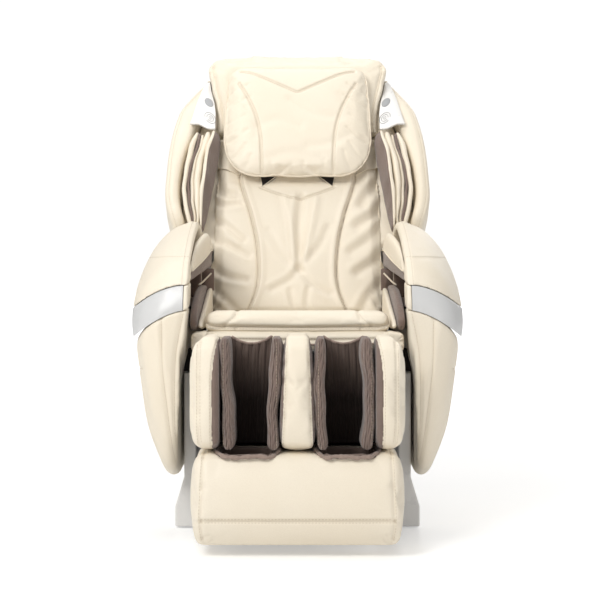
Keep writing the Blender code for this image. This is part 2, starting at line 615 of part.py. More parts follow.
def back_upholstery():
    outline = [(-0.236, 0.035), (0.236, 0.035), (0.242, 0.16), (0.236, 0.28), (0.224, 0.44), (0.212, 0.612)]
    outline += [(-0.212, 0.612), (-0.224, 0.44), (-0.236, 0.28), (-0.242, 0.16)]
    panel("back_cushion", outline, CUSHION_FRONT, CUSHION_BACK, LEATHER, back_pivot, 0.008)
    cover = [(0.616, 0.215, -0.095), (0.70, 0.226, -0.095), (0.775, 0.236, -0.095), (0.835, 0.252, -0.070)]
    cover += [(0.868, 0.262, -0.060), (0.8685, 0.263, 0.105), (0.892, 0.260, 0.105), (0.906, 0.248, 0.070)]
    rings = []
    for s, half, rear in cover:
        front = -0.126 + 0.9 * max(0.0, s - 0.872)
        rings.append([(-half, front, s), (half, front, s), (half, rear, s), (-half, rear, s)])
    loft("head_cover", rings, LEATHER, back_pivot, rounding=0.008)


back_frame()
back_shell()
pair("wing", wing)
pair("speaker_panel", speaker_panel)
pair("shoulder_airbag_outer", lambda n, s: shoulder_airbag(n, s, SHOULDER_OUTER))
pair("shoulder_airbag_inner", lambda n, s: shoulder_airbag(n, s, SHOULDER_INNER))
back_upholstery()

pillow_pivot = pivot("pillow_hinge_axis", -0.134, 0.838, back_pivot)
pillow_side = [(0.165, -0.006), (0.188, -0.014), (0.199, -0.036), (0.207, -0.13), (0.207, -0.24)]
pillow_side += [(0.200, -0.290), (0.184, -0.333), (0.153, -0.368), (0.112, -0.384), (0.050, -0.389)]
pillow_outline = pillow_side + [(-x, s) for x, s in reversed(pillow_side)]
panel("head_pillow", pillow_outline, -0.046, 0.001, LEATHER, pillow_pivot, rounding=0.012)


# ---- massage mechanism ----------------------------------------------------------------------
def carriage():
    """The box that climbs the guide rails, with a sleeve on each rail and a nut on the screw."""
    unit = block("massage_carriage", (-0.090, -0.030, -0.06), (0.090, 0.022, 0.06), BLACK, carriage_axis, 0.006)
    for side in (-1, 1):
        low, high = sided(side, 0.085, 0.136)
        weld(unit, block("sleeve", (low, -0.014, -0.045), (high, 0.014, 0.045), None, carriage_axis))
        low, high = sided(side, 0.078, 0.084)
        weld(unit, block("shaft_ear", (low, -0.055, -0.012), (high, -0.02, 0.012), None, carriage_axis))
        x = RAIL_X * side
        cut(unit, rod("sleeve_bore", (x, 0, -0.1), (x, 0, 0.1), RAIL_R + RUNNING_GAP, None, carriage_axis))
    weld(unit, rod("kneading_shaft", (-0.082, -0.046, 0), (0.082, -0.046, 0), 0.006, None, carriage_axis, 16))
    cut(unit, rod("nut_bore", (0, 0, -0.1), (0, 0, 0.1), 0.0085, None, carriage_axis))


def massage_head(name, side):
    """A rocking arm on the kneading shaft with a roller at each end."""
    axis = pivot(f"{name}_axis", -0.046, 0, carriage_axis, x=0.050 * side)
    hub = rod(name, (-0.010, 0, 0), (0.010, 0, 0), 0.012, CHROME, axis, 16)
    for end in (-1, 1):
        arm = [(-0.009, 0), (-0.024, end * 0.050), (-0.012, end * 0.058), (0.006, end * 0.006)]
        weld(hub, slab("rocker", arm, -0.006, 0.006, None, axis))
        weld(hub, ball("roller", (0, -0.0195, end * 0.056), 0.0200, None, axis))
    cut(hub, rod("hub_bore", (-0.03, 0, 0), (0.03, 0, 0), 0.006 + RUNNING_GAP, None, axis, 16))


carriage_axis = pivot("carriage_axis", 0, CARRIAGE_S, back_pivot)
carriage()
pair("massage_head", massage_head)
rod("lead_screw", (0, 0, 0.050), (0, 0, 0.840), 0.0080, CHROME, back_pivot, 12)


# ---- leg rest -------------------------------------------------------------------------------
def leg_frame():
    """The hinge shaft, two hangers, a cross plate and the lift lever."""
    frame = rod("leg_frame", (-0.213, LEG_Y, LEG_Z), (0.213, LEG_Y, LEG_Z), 0.010, STEEL, leg)
    parts = [block("cross_plate", (-0.17, -0.444, 0.26), (0.17, -0.436, 0.33), None, leg)]
    for side in (-1, 1):
        low, high = sided(side, 0.148, 0.170)
        parts.append(block("hanger", (low, -0.445, 0.25), (high, -0.432, 0.435), None, leg))
        low, high = sided(side, 0.148, 0.192)
        parts.append(block("housing_tab", (low, -0.4615, 0.36), (high, -0.440, 0.385), None, leg))
    for x in (-0.100, -0.075):
        lever = [(-0.440, 0.285), (-0.440, 0.330), (-0.415, 0.322), (-0.407, 0.310), (-0.415, 0.298)]
        parts.append(slab("lever", lever, x, x + 0.005, None, leg))
    weld(frame, *parts)


def calf_side_view(front, top):
    return [
        (CALF_REAR - 0.031, CALF_LOW), (CALF_REAR - 0.031, top - 0.045), (CALF_REAR - 0.060, top - 0.008),
        (-0.560, top), (front + 0.040, top - 0.004), (front + 0.010, top - 0.030), (front, top - 0.075),
        (front, CALF_LOW + 0.055), (front + 0.015, CALF_LOW + 0.012), (front + 0.045, CALF_LOW),
    ]


def calf_pad(name, side):
    low, high = sided(side, CALF_PAD_IN, CALF_HALF)
    slab(name, calf_side_view(-0.650, 0.494), low, high, LEATHER, leg, rounding=0.014, segments=3)


def calf_airbags(label, side):
    """Two bags in each well, on its outer and inner wall."""
    for word, low, high in (("outer", 0.146, 0.1725), ("inner", 0.0385, 0.066)):
        low, high = sided(side, low, high)
        view = calf_side_view(-0.636, 0.486)
        slab(label.replace("bag", f"bag_{word}"), view, low, high, FABRIC, leg, rounding=0.008)


def calf_middle():
    half_top, half_low = 0.026, 0.0365
    view = calf_side_view(-0.652, 0.496)
    pad = []
    for side in (-1, 1):
        ring = []
        for y, z in view:
            share = (z - CALF_LOW) / (0.496 - CALF_LOW)
            ring.append((side * (half_low + (half_top - half_low) * share), y, z))
        pad.append(ring)
    loft("calf_pad_middle", pad, LEATHER, leg, rounding=0.007)
    low, high = CALF_REAR - 0.030, CALF_REAR
    block("calf_housing", (-0.228, low, CALF_LOW + 0.002), (0.228, high, 0.452), BLACK, leg, 0.006)


leg_frame()
pair("calf_pad", calf_pad)
pair("calf_airbag", calf_airbags)
calf_middle()


# ---- foot unit ------------------------------------------------------------------------------
FOOT_WELL = (0.046, 0.178, -0.632, -0.492)  # inner x, outer x, front y, rear y
FOOT_FLOOR = 0.078


def foot_unit():
    """The boot: a padded tray with a well for each foot, on two bars that slide behind the housing."""
    side_view = [(-0.463, 0.050), (-0.463, 0.228), (-0.60, FOOT_HIGH), (-0.638, 0.222), (-0.660, 0.170)]
    side_view += [(-0.670, 0.110), (-0.664, 0.055), (-0.635, FOOT_LOW), (-0.49, FOOT_LOW)]
    boot = slab("foot_shell", side_view, -FOOT_HALF, FOOT_HALF, LEATHER, foot_axis, rounding=0.018)
    inner, outer, front, rear = FOOT_WELL
    for side in (-1, 1):
        low, high = sided(side, inner, outer)
        cut(boot, block("well", (low, front, FOOT_FLOOR), (high, rear, 0.30), None, foot_axis, 0.012, 2))
        low, high = sided(side, 0.100, 0.120)
        weld(boot, block("bar_root", (low, -0.475, 0.10), (high, -0.448, 0.19), None, foot_axis))
        weld(boot, block("slide_bar", (low, -0.459, 0.12), (high, -0.448, 0.400), None, foot_axis))


def foot_sole(name, side):
    """The removable footbed that lies on the floor of each well."""
    low, high = sided(side, FOOT_WELL[0] + 0.013, FOOT_WELL[1] - 0.013)
    low_y, high_y = FOOT_WELL[2] + 0.013, FOOT_WELL[3] - 0.013
    floor = FOOT_FLOOR + REST_GAP
    block(name, (low, low_y, floor), (high, high_y, floor + 0.010), FABRIC, foot_axis, 0.004)


foot_axis = pivot("foot_slide_axis", 0, 0, leg)
foot_unit()
pair("foot_sole", foot_sole)
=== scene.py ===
"""Looks of the massage chair: upholstery, trim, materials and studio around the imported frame."""

import math

import bmesh
import bpy
import numpy as np
from mathutils import Matrix, Vector
from mathutils.bvhtree import BVHTree


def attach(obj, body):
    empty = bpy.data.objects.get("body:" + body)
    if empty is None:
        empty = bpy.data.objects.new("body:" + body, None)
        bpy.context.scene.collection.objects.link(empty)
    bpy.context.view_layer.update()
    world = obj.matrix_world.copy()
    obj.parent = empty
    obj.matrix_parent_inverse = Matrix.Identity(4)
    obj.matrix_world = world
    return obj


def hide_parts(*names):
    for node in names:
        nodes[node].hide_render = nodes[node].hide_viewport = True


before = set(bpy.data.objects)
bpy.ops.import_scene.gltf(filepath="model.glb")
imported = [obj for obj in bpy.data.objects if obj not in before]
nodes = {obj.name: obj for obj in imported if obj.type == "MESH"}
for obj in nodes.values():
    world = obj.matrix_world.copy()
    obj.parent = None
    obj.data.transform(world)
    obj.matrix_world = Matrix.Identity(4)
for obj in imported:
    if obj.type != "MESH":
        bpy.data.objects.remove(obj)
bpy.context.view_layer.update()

SIDES = ((-1, "left"), (1, "right"))
BACK_PLACE = Matrix.Translation((0, 0.14, 0.42)) @ Matrix.Rotation(-math.radians(26), 4, "X")
PILLOW_PLACE = BACK_PLACE @ Matrix.Translation((0, -0.134, 0.838))
FRONT = Vector((0, -1, 0))
BACK_FRONT = (BACK_PLACE.to_3x3() @ FRONT).normalized()  # out of the backrest, to the sitter


# ---- curves and tables ----------------------------------------------------------------------
def spline(points, count, closed=False):
    """Evenly spaced points on a smooth curve through the given ones."""
    p = np.array(points, float)
    if closed:
        p = np.vstack((p[-1:], p, p[:2]))
    else:
        p = np.vstack((2 * p[0] - p[1], p, 2 * p[-1] - p[-2]))
    steps = np.linspace(0, 1, 16, endpoint=False)[:, None]
    run = []
    for a, b, c, d in zip(p, p[1:], p[2:], p[3:]):
        run.append(
            0.5
            * (
                2 * b
                + (c - a) * steps
                + (2 * a - 5 * b + 4 * c - d) * steps**2
                + (3 * b - a - 3 * c + d) * steps**3
            )
        )
    run = np.vstack(run + [p[-2:-1]])
    length = np.concatenate(([0], np.cumsum(np.linalg.norm(np.diff(run, axis=0), axis=1))))
    at = np.linspace(0, length[-1], count, endpoint=not closed)
    return np.column_stack([np.interp(at, length, run[:, i]) for i in range(run.shape[1])])


def reading(table, at):
    """Smooth reading of a table of (position, value) pairs."""
    x, y = np.array(table, float).T
    slope = np.gradient(y, x)
    at = np.clip(at, x[0], x[-1])
    i = np.clip(np.searchsorted(x, at) - 1, 0, len(x) - 2)
    h = x[i + 1] - x[i]
    t = (at - x[i]) / h
    return (
        (2 * t**3 - 3 * t**2 + 1) * y[i]
        + (t**3 - 2 * t**2 + t) * h * slope[i]
        + (3 * t**2 - 2 * t**3) * y[i + 1]
        + (t**3 - t**2) * h * slope[i + 1]
    )


def placed(points, place):
    """Points moved by a matrix."""
    m = np.array(place)
    return np.array(points, float) @ m[:3, :3].T + m[:3, 3]


def on_back(points, depth=-0.128):
    """(x, height along the back) points on the backrest's front."""
    return placed([(x, depth, s) for x, s in points], BACK_PLACE)


def mirrored(points):
    return np.array(points, float) * np.array((-1, 1, 1))


# ---- meshes ---------------------------------------------------------------------------------
def object_of(name, mesh, material=None):
    obj = bpy.data.objects.new(name, mesh)
    bpy.context.scene.collection.objects.link(obj)
    if material:
        mesh.materials.clear()
        mesh.materials.append(material)
    return obj


def mesh_from(name, verts, faces, material=None, smooth=True):
    mesh = bpy.data.meshes.new(name)
    mesh.from_pydata([tuple(v) for v in verts], [], [tuple(f) for f in faces])
    if smooth:
        mesh.shade_smooth()
    return object_of(name, mesh, material)


def coordinates(obj):
    co = np.empty(len(obj.data.vertices) * 3, np.float32)
    obj.data.vertices.foreach_get("co", co)
    return co.reshape(-1, 3).astype(float)


def normals(obj):
    no = np.empty(len(obj.data.vertices) * 3, np.float32)
    obj.data.vertices.foreach_get("normal", no)
    return no.reshape(-1, 3).astype(float)


def set_coordinates(obj, co):
    obj.data.vertices.foreach_set("co", np.ascontiguousarray(co, np.float32).ravel())
    obj.data.update()


def loft(name, rings, material=None, caps=True):
    """A skin through rings of equal length, closed at both ends."""
    count = len(rings[0])
    verts = np.vstack(rings)
    faces = []
    for r in range(len(rings) - 1):
        for i in range(count):
            j = (i + 1) % count
            faces.append((r * count + i, r * count + j, (r + 1) * count + j, (r + 1) * count + i))
    if caps:
        last = (len(rings) - 1) * count
        faces += [tuple(reversed(range(count))), tuple(range(last, last + count))]
    obj = mesh_from(name, verts, faces, material)
    face_out(obj)
    return obj


def face_out(obj):
    bm = bmesh.new()
    bm.from_mesh(obj.data)
    bmesh.ops.recalc_face_normals(bm, faces=bm.faces)
    bm.to_mesh(obj.data)
    bm.free()


def applied(obj):
    """The object with its modifiers made part of its mesh."""
    graph = bpy.context.evaluated_depsgraph_get()
    mesh = bpy.data.meshes.new_from_object(obj.evaluated_get(graph))
    obj.modifiers.clear()
    old, obj.data = obj.data, mesh
    bpy.data.meshes.remove(old)
    return obj


def removed(*objs):
    for obj in objs:
        bpy.data.objects.remove(obj)


def boolean(target, tool, operation="DIFFERENCE"):
    step = target.modifiers.new("cut", "BOOLEAN")
    step.operation, step.object = operation, tool
    applied(target)
    removed(tool)
    return target


def remeshed(obj, voxel, relax=6, factor=0.5):
    """Even small faces, then rounded by smoothing."""
    step = obj.modifiers.new("remesh", "REMESH")
    step.mode, step.voxel_size, step.use_smooth_shade = "VOXEL", voxel, True
    if relax:
        soften = obj.modifiers.new("relax", "SMOOTH")
        soften.iterations, soften.factor = relax, factor
    return applied(obj)


def subdivided(obj, levels=1):
    step = obj.modifiers.new("fine", "SUBSURF")
    step.levels = step.render_levels = levels
    applied(obj)
    obj.data.shade_smooth()
    return obj


def joined(name, objs, material=None):
    """One object from several."""
    bm = bmesh.new()
    for obj in objs:
        bm.from_mesh(obj.data)
    removed(*objs)
    mesh = bpy.data.meshes.new(name)
    bm.to_mesh(mesh)
    bm.free()
    mesh.shade_smooth()
    return object_of(name, mesh, material)


def copy_of(name, *sources):
    """A new object with the joined meshes of CAD nodes."""
    bm = bmesh.new()
    for source in sources:
        bm.from_mesh(nodes[source].data)
    bmesh.ops.remove_doubles(bm, verts=bm.verts, dist=0.00001)
    mesh = bpy.data.meshes.new(name)
    bm.to_mesh(mesh)
    bm.free()
    return object_of(name, mesh)


def mirror_copy(obj, name):
    """The same piece on the other side of the chair."""
    mesh = obj.data.copy()
    mesh.transform(Matrix.Scale(-1, 4, (1, 0, 0)))
    mesh.flip_normals()
    return object_of(name, mesh)


def sheet_between(name, rows, thickness):
    """Cloth through a grid of points, with a thickness."""
    high, wide = len(rows), len(rows[0])
    verts = [p for row in rows for p in row]
    faces = []
    for j in range(high - 1):
        for i in range(wide - 1):
            k = j * wide + i
            faces.append((k, k + 1, k + wide + 1, k + wide))
    obj = mesh_from(name, verts, faces)
    wall = obj.modifiers.new("wall", "SOLIDIFY")
    wall.thickness, wall.offset = thickness, 0.0
    applied(obj)
    face_out(obj)
    obj.data.shade_smooth()
    return obj


# ---- soft goods -----------------------------------------------------------------------------
def inflated(obj, pressure=4.0, cap=0.015, held=None, frames=16, mass=0.3, quality=3):
    """Swells the closed mesh as sewn cloth under air pressure; held(points) marks the sewn points."""
    start = coordinates(obj)
    cloth = obj.modifiers.new("cloth", "CLOTH")
    s = cloth.settings
    s.quality, s.mass = quality, mass
    s.tension_stiffness = s.compression_stiffness = 30
    s.shear_stiffness, s.bending_stiffness = 8, 0.4
    s.use_pressure, s.uniform_pressure_force = True, pressure
    s.effector_weights.gravity = 0.0
    cloth.point_cache.frame_start, cloth.point_cache.frame_end = 1, frames
    if held is not None:
        sewn = obj.vertex_groups.new(name="sewn")
        sewn.add([int(i) for i in np.flatnonzero(held(start))], 1.0, "REPLACE")
        s.vertex_group_mass = "sewn"
    scene = bpy.context.scene
    for f in range(1, frames + 1):
        scene.frame_set(f)
    applied(obj)
    obj.vertex_groups.clear()
    scene.frame_set(1)
    move = coordinates(obj) - start
    far = np.linalg.norm(move, axis=1, keepdims=True)
    set_coordinates(obj, start + move * np.minimum(1.0, cap / np.maximum(far, 1e-9)))
    return obj


def distance_to(co, line, facing):
    """Distance of each point to a polyline, both seen along a direction."""
    facing = np.array(facing, float)
    flat = lambda p: p - np.outer(p @ facing, facing)
    points, line = flat(co), flat(np.array(line, float))
    best = np.full(len(co), np.inf)
    for a, b in zip(line, line[1:]):
        along = b - a
        share = np.clip((points - a) @ along / max(along @ along, 1e-12), 0, 1)
        best = np.minimum(best, np.linalg.norm(points - a - share[:, None] * along, axis=1))
    return best


def pressed(obj, line, width, depth, facing, within=None):
    """Presses a channel along a line into the side that faces that way; a negative depth raises a fold."""
    co, no = coordinates(obj), normals(obj)
    facing = np.array(facing, float)
    front = np.clip((no @ facing + 0.1) / 0.5, 0, 1)
    near = np.flatnonzero(front > 0)
    if within is not None:
        near = near[within(co[near])]
    push = depth * np.exp(-((distance_to(co[near], line, facing) / width) ** 2)) * front[near]
    co[near] -= push[:, None] * facing
    set_coordinates(obj, co)
    return obj


def stepped(obj, line, drop, reach, outward, facing):
    """Lowers the side of a line that lies outward, most at the line: one panel laps over the other."""
    co, no = coordinates(obj), normals(obj)
    facing, outward = np.array(facing, float), np.array(outward, float)
    front = np.clip((no @ facing + 0.1) / 0.5, 0, 1)
    near = np.flatnonzero(front > 0)
    line = np.array(line, float)
    closest = np.linalg.norm(co[near][:, None] - line[None], axis=2).argmin(axis=1)
    outside = np.clip(((co[near] - line[closest]) @ outward) / 0.002, 0, 1)
    fade = np.exp(-distance_to(co[near], line, facing) / reach)
    co[near] -= (drop * outside * fade * front[near])[:, None] * facing
    set_coordinates(obj, co)
    return obj


def surface_of(obj):
    bm = bmesh.new()
    bm.from_mesh(obj.data)
    tree = BVHTree.FromBMesh(bm)
    bm.free()
    return tree


def laid_on(obj, line, facing, lift=0.0, gap=0.006):
    """The line dropped onto the object's surface from the side it faces, evenly resampled."""
    tree, facing = surface_of(obj), Vector(facing)
    line = np.array(line, float)
    length = np.linalg.norm(np.diff(line, axis=0), axis=1).sum()
    found = []
    for p in spline(line, max(4, int(length / gap))) if len(line) > 2 else resampled(line, gap):
        hit, normal, _, _ = tree.ray_cast(Vector(p) + facing * 0.25, -facing)
        if hit is not None:
            found.append(hit + normal * lift)
    return np.array(found)


def resampled(line, gap):
    length = np.concatenate(([0], np.cumsum(np.linalg.norm(np.diff(line, axis=0), axis=1))))
    at = np.linspace(0, length[-1], max(3, int(length[-1] / gap)))
    return np.column_stack([np.interp(at, length, line[:, i]) for i in range(3)])


def tube(name, points, radius, sides=8, closed=False, taper=False):
    """A round cord along a line of points. radius may be one number or one per point."""
    points = np.array(points, float)
    count = len(points)
    radius = np.broadcast_to(radius, count)
    ahead = np.roll(points, -1, 0) - np.roll(points, 1, 0)
    if not closed:
        ahead[0], ahead[-1] = points[1] - points[0], points[-1] - points[-2]
    ahead /= np.maximum(np.linalg.norm(ahead, axis=1, keepdims=True), 1e-9)
    up = np.cross(ahead[0], (0.31, 0.52, 0.79))
    rings = []
    for p, t, r in zip(points, ahead, radius):
        up = up - t * (up @ t)
        up /= np.linalg.norm(up)
        side = np.cross(t, up)
        turn = np.arange(sides) * 2 * math.pi / sides
        rings.append(p + r * (np.outer(np.cos(turn), up) + np.outer(np.sin(turn), side)))
    if closed:
        rings.append(rings[0])
    obj = loft(name, rings, caps=not closed)
    if closed:
        bm = bmesh.new()
        bm.from_mesh(obj.data)
        bmesh.ops.remove_doubles(bm, verts=bm.verts, dist=1e-6)
        bm.to_mesh(obj.data)
        bm.free()
    return obj


def stitches(name, points, radius=0.0005, length=0.0048, gap=0.0026):
    """Thread along a line: one rounded dash per stitch."""
    points = np.array(points, float)
    run = np.concatenate(([0], np.cumsum(np.linalg.norm(np.diff(points, axis=0), axis=1))))
    made = []
    at = 0.0
    turn = np.arange(6) * math.pi / 3
    verts, faces = [], []
    while at + length < run[-1]:
        s = at + length * np.array((0.0, 0.12, 0.5, 0.88, 1.0))
        centre = np.column_stack([np.interp(s, run, points[:, i]) for i in range(3)])
        t = centre[-1] - centre[0]
        t /= max(np.linalg.norm(t), 1e-9)
        up = np.cross(t, (0.31, 0.52, 0.79))
        up /= np.linalg.norm(up)
        side = np.cross(t, up)
        base = len(verts)
        for c, r in zip(centre, (0.35, 0.9, 1.0, 0.9, 0.35)):
            for a in turn:
                verts.append(c + radius * r * (math.cos(a) * up + math.sin(a) * side))
        for k in range(4):
            for i in range(6):
                j = (i + 1) % 6
                faces.append((base + k * 6 + i, base + k * 6 + j, base + k * 6 + 6 + j, base + k * 6 + 6 + i))
        faces += [tuple(base + i for i in reversed(range(6))), tuple(base + 24 + i for i in range(6))]
        at += length + gap
    return mesh_from(name, verts, faces)


# ---- materials ------------------------------------------------------------------------------
class Shader:
    """A node material under construction."""

    def __init__(self, name, roughness=0.5, metallic=0.0, **inputs):
        self.material = bpy.data.materials.new(name)
        self.material.use_nodes = True
        self.tree = self.material.node_tree
        self.bsdf = self.tree.nodes["Principled BSDF"]
        self.bsdf.inputs["Roughness"].default_value = roughness
        self.bsdf.inputs["Metallic"].default_value = metallic
        for key, value in inputs.items():
            self.bsdf.inputs[key.replace("_", " ")].default_value = value
        self.place = self.node("ShaderNodeTexCoord").outputs["Object"]

    def node(self, kind, **settings):
        made = self.tree.nodes.new(kind)
        for key, value in settings.items():
            setattr(made, key, value)
        return made

    def link(self, source, target):
        self.tree.links.new(source, target)

    def noise(self, scale, detail=4.0, stretch=(1, 1, 1), roughness=0.55):
        spread = self.node("ShaderNodeMapping")
        spread.inputs["Scale"].default_value = stretch
        self.link(self.place, spread.inputs["Vector"])
        made = self.node("ShaderNodeTexNoise")
        made.inputs["Scale"].default_value = scale
        made.inputs["Detail"].default_value = detail
        made.inputs["Roughness"].default_value = roughness
        self.link(spread.outputs["Vector"], made.inputs["Vector"])
        return made.outputs["Fac"]

    def cells(self, scale, feature="DISTANCE_TO_EDGE"):
        made = self.node("ShaderNodeTexVoronoi", feature=feature)
        made.inputs["Scale"].default_value = scale
        self.link(self.place, made.inputs["Vector"])
        return made.outputs["Distance"]

    def wave(self, scale, axis, distortion=0.0):
        made = self.node("ShaderNodeTexWave", bands_direction=axis)
        made.inputs["Scale"].default_value = scale
        made.inputs["Distortion"].default_value = distortion
        self.link(self.place, made.inputs["Vector"])
        return made.outputs["Fac"]

    def math(self, operation, a, b):
        made = self.node("ShaderNodeMath", operation=operation)
        for i, value in enumerate((a, b)):
            if isinstance(value, (int, float)):
                made.inputs[i].default_value = value
            else:
                self.link(value, made.inputs[i])
        return made.outputs[0]

    def ramp(self, source, low, high, start=0.0, end=1.0):
        made = self.node("ShaderNodeMapRange")
        for key, value in zip(("From Min", "From Max", "To Min", "To Max"), (start, end, low, high)):
            made.inputs[key].default_value = value
        self.link(source, made.inputs["Value"])
        return made.outputs["Result"]

    def mix(self, share, a, b):
        made = self.node("ShaderNodeMix", data_type="RGBA")
        for socket, value in ((made.inputs[6], a), (made.inputs[7], b)):
            if isinstance(value, tuple):
                socket.default_value = (*value, 1.0)
            else:
                self.link(value, socket)
        if isinstance(share, (int, float)):
            made.inputs[0].default_value = share
        else:
            self.link(share, made.inputs[0])
        return made.outputs[2]

    def edges(self, low=0.46, high=0.54):
        """0 in creases, 1 on worn edges."""
        return self.ramp(self.node("ShaderNodeNewGeometry").outputs["Pointiness"], 0, 1, low, high)

    def colour(self, source):
        self.link(source, self.bsdf.inputs["Base Color"])

    def rough(self, source):
        self.link(source, self.bsdf.inputs["Roughness"])

    def bump(self, *layers):
        """Layers of (height, strength, distance)."""
        normal = None
        for height, strength, distance in layers:
            made = self.node("ShaderNodeBump")
            made.inputs["Strength"].default_value = strength
            made.inputs["Distance"].default_value = distance
            self.link(height, made.inputs["Height"])
            if normal is not None:
                self.link(normal, made.inputs["Normal"])
            normal = made.outputs["Normal"]
        self.link(normal, self.bsdf.inputs["Normal"])


def leather(name, tone, crease, rough=0.46):
    """Soft grained leather: pebbled grain, fine wrinkles, painted shade in creases, lighter on worn edges."""
    s = Shader(name, rough, Sheen_Weight=0.06, Specular_IOR_Level=0.42)
    shade = s.noise(3.2, 3)
    base = s.mix(s.ramp(shade, 0, 1, 0.35, 0.7), tone, tuple(c * f for c, f in zip(tone, (0.965, 0.95, 0.925))))
    base = s.mix(s.ramp(s.cells(620), 0.16, 0.0, 0.0, 0.22), base, crease)
    # painted shade: concave creases and seams are darkened towards the crease colour
    base = s.mix(s.ramp(s.edges(0.40, 0.50), 0.45, 0.0), base, crease)
    worn = tuple(min(1.0, c * 1.06) for c in tone)
    s.colour(s.mix(s.ramp(s.edges(0.52, 0.60), 0.0, 0.5), base, worn))
    s.rough(s.ramp(s.noise(55, 5), rough - 0.07, rough + 0.10, 0.3, 0.7))
    s.bump(
        (s.noise(46, 6, roughness=0.6), 0.16, 0.004),
        (s.cells(620), 0.32, 0.0006),
        (s.noise(1500, 2), 0.10, 0.0003),
    )
    return s.material


def fabric(name, tone, weave=1150):
    """Woven airbag cloth: crossing threads, slight fuzz, painted shade in creases and faded high spots."""
    s = Shader(name, 0.85, Sheen_Weight=0.35, Sheen_Roughness=0.5, Specular_IOR_Level=0.2)
    threads = s.math("MULTIPLY", s.wave(weave, "DIAGONAL"), s.wave(weave * 0.9, "Z"))
    base = s.mix(s.ramp(s.noise(14, 4), 0, 1, 0.35, 0.7), tone, tuple(c * 0.84 for c in tone))
    base = s.mix(s.ramp(threads, 0.0, 0.30), base, tuple(min(1, c * 1.7) for c in tone))
    # painted shade: concave creases are darkened to half the tone
    base = s.mix(s.ramp(s.edges(0.40, 0.50), 0.5, 0.0), base, tuple(c * 0.5 for c in tone))
    s.colour(s.mix(s.ramp(s.edges(0.52, 0.62), 0.0, 0.4), base, tuple(min(1, c * 1.35) for c in tone)))
    s.rough(s.ramp(s.noise(240, 3), 0.74, 0.95, 0.3, 0.7))
    s.bump((s.noise(70, 5), 0.25, 0.003), (threads, 0.4, 0.0005))
    return s.material


def lining_cloth(name, lit, deep, low, high):
    """Airbag cloth with painted shade that darkens it towards the bottom of a deep well."""
    s = Shader(name, 0.9, Sheen_Weight=0.2, Specular_IOR_Level=0.15)
    height = s.node("ShaderNodeSeparateXYZ")
    s.link(s.place, height.inputs[0])
    share = s.ramp(height.outputs["Z"], 0.0, 1.0, low, high)
    uneven = s.math("ADD", share, s.ramp(s.noise(24, 3), -0.12, 0.12))
    threads = s.math("MULTIPLY", s.wave(900, "X"), s.wave(900, "Z"))
    # painted shade: deep is the unlit colour low in the well, lit the colour at its mouth
    base = s.mix(uneven, deep, lit)
    s.colour(s.mix(s.ramp(threads, 0.0, 0.25), base, tuple(c * 1.4 for c in lit)))
    s.rough(s.ramp(s.noise(240, 3), 0.82, 0.96, 0.3, 0.7))
    s.bump((s.noise(70, 5), 0.25, 0.003), (threads, 0.3, 0.0005))
    return s.material


def plastic(name, tone, rough=0.32, coat=0.0):
    """Moulded plastic with a fine texture, painted shade in recesses, faint handling marks and rubbed edges."""
    s = Shader(name, rough, Coat_Weight=coat, Coat_Roughness=0.12)
    base = s.mix(s.ramp(s.noise(5, 3), 0, 1, 0.35, 0.65), tone, tuple(c * 0.965 for c in tone))
    # painted shade: recesses are darkened towards 0.6 of the tone
    base = s.mix(s.ramp(s.edges(0.42, 0.50), 0.35, 0.0), base, tuple(c * 0.6 for c in tone))
    s.colour(s.mix(s.ramp(s.edges(0.53, 0.62), 0.0, 0.5), base, tuple(min(1, c * 1.08) for c in tone)))
    marks = s.noise(260, 2, stretch=(1, 1, 0.05))
    s.rough(s.math("ADD", s.ramp(s.noise(28, 5), rough - 0.05, rough + 0.07, 0.3, 0.7), s.ramp(marks, 0, 0.08, 0.6, 0.8)))
    s.bump((s.noise(900, 2), 0.05, 0.0004), (marks, 0.02, 0.0006))
    return s.material


def metal(name, tone, rough, metallic=1.0, coat=0.0):
    """Painted or plated metal with brushed streaks and rubbed edges."""
    s = Shader(name, rough, metallic, Coat_Weight=coat, Coat_Roughness=0.1)
    base = s.mix(s.ramp(s.noise(9, 3), 0, 1, 0.35, 0.65), tone, tuple(c * 0.9 for c in tone))
    s.colour(s.mix(s.ramp(s.edges(0.53, 0.62), 0.0, 0.5), base, tuple(min(1, c * 1.25 + 0.02) for c in tone)))
    streaks = s.noise(180, 3, stretch=(0.08, 1, 1))
    s.rough(s.ramp(streaks, rough - 0.04, rough + 0.10, 0.3, 0.7))
    s.bump((streaks, 0.04, 0.0005), (s.noise(1200, 2), 0.03, 0.0003))
    return s.material


def rubber(name, tone):
    s = Shader(name, 0.8, Specular_IOR_Level=0.3)
    s.colour(s.mix(s.ramp(s.noise(40, 4), 0, 1, 0.4, 0.65), tone, tuple(c * 1.9 for c in tone)))
    s.rough(s.ramp(s.noise(90, 4), 0.68, 0.92, 0.3, 0.7))
    s.bump((s.noise(600, 3), 0.2, 0.0006))
    return s.material


# the second colour of each leather is its grain colour and the colour of its painted shade in creases
CREAM = leather("cream_leather", (0.86, 0.79, 0.665), (0.50, 0.40, 0.29))
THREAD = fabric("cream_thread", (0.50, 0.42, 0.32), 2400)
PIPING = leather("piping_leather", (0.80, 0.72, 0.59), (0.48, 0.39, 0.29), 0.5)
BROWN = fabric("taupe_airbag_cloth", (0.205, 0.150, 0.128))
BROWN_TRIM = fabric("taupe_binding", (0.30, 0.225, 0.19))
# the near-black second colour is painted shade low in the calf wells
SHADED_WELL_LINING = lining_cloth("well_lining", (0.16, 0.118, 0.10), (0.006, 0.004, 0.003), 0.34, 0.50)
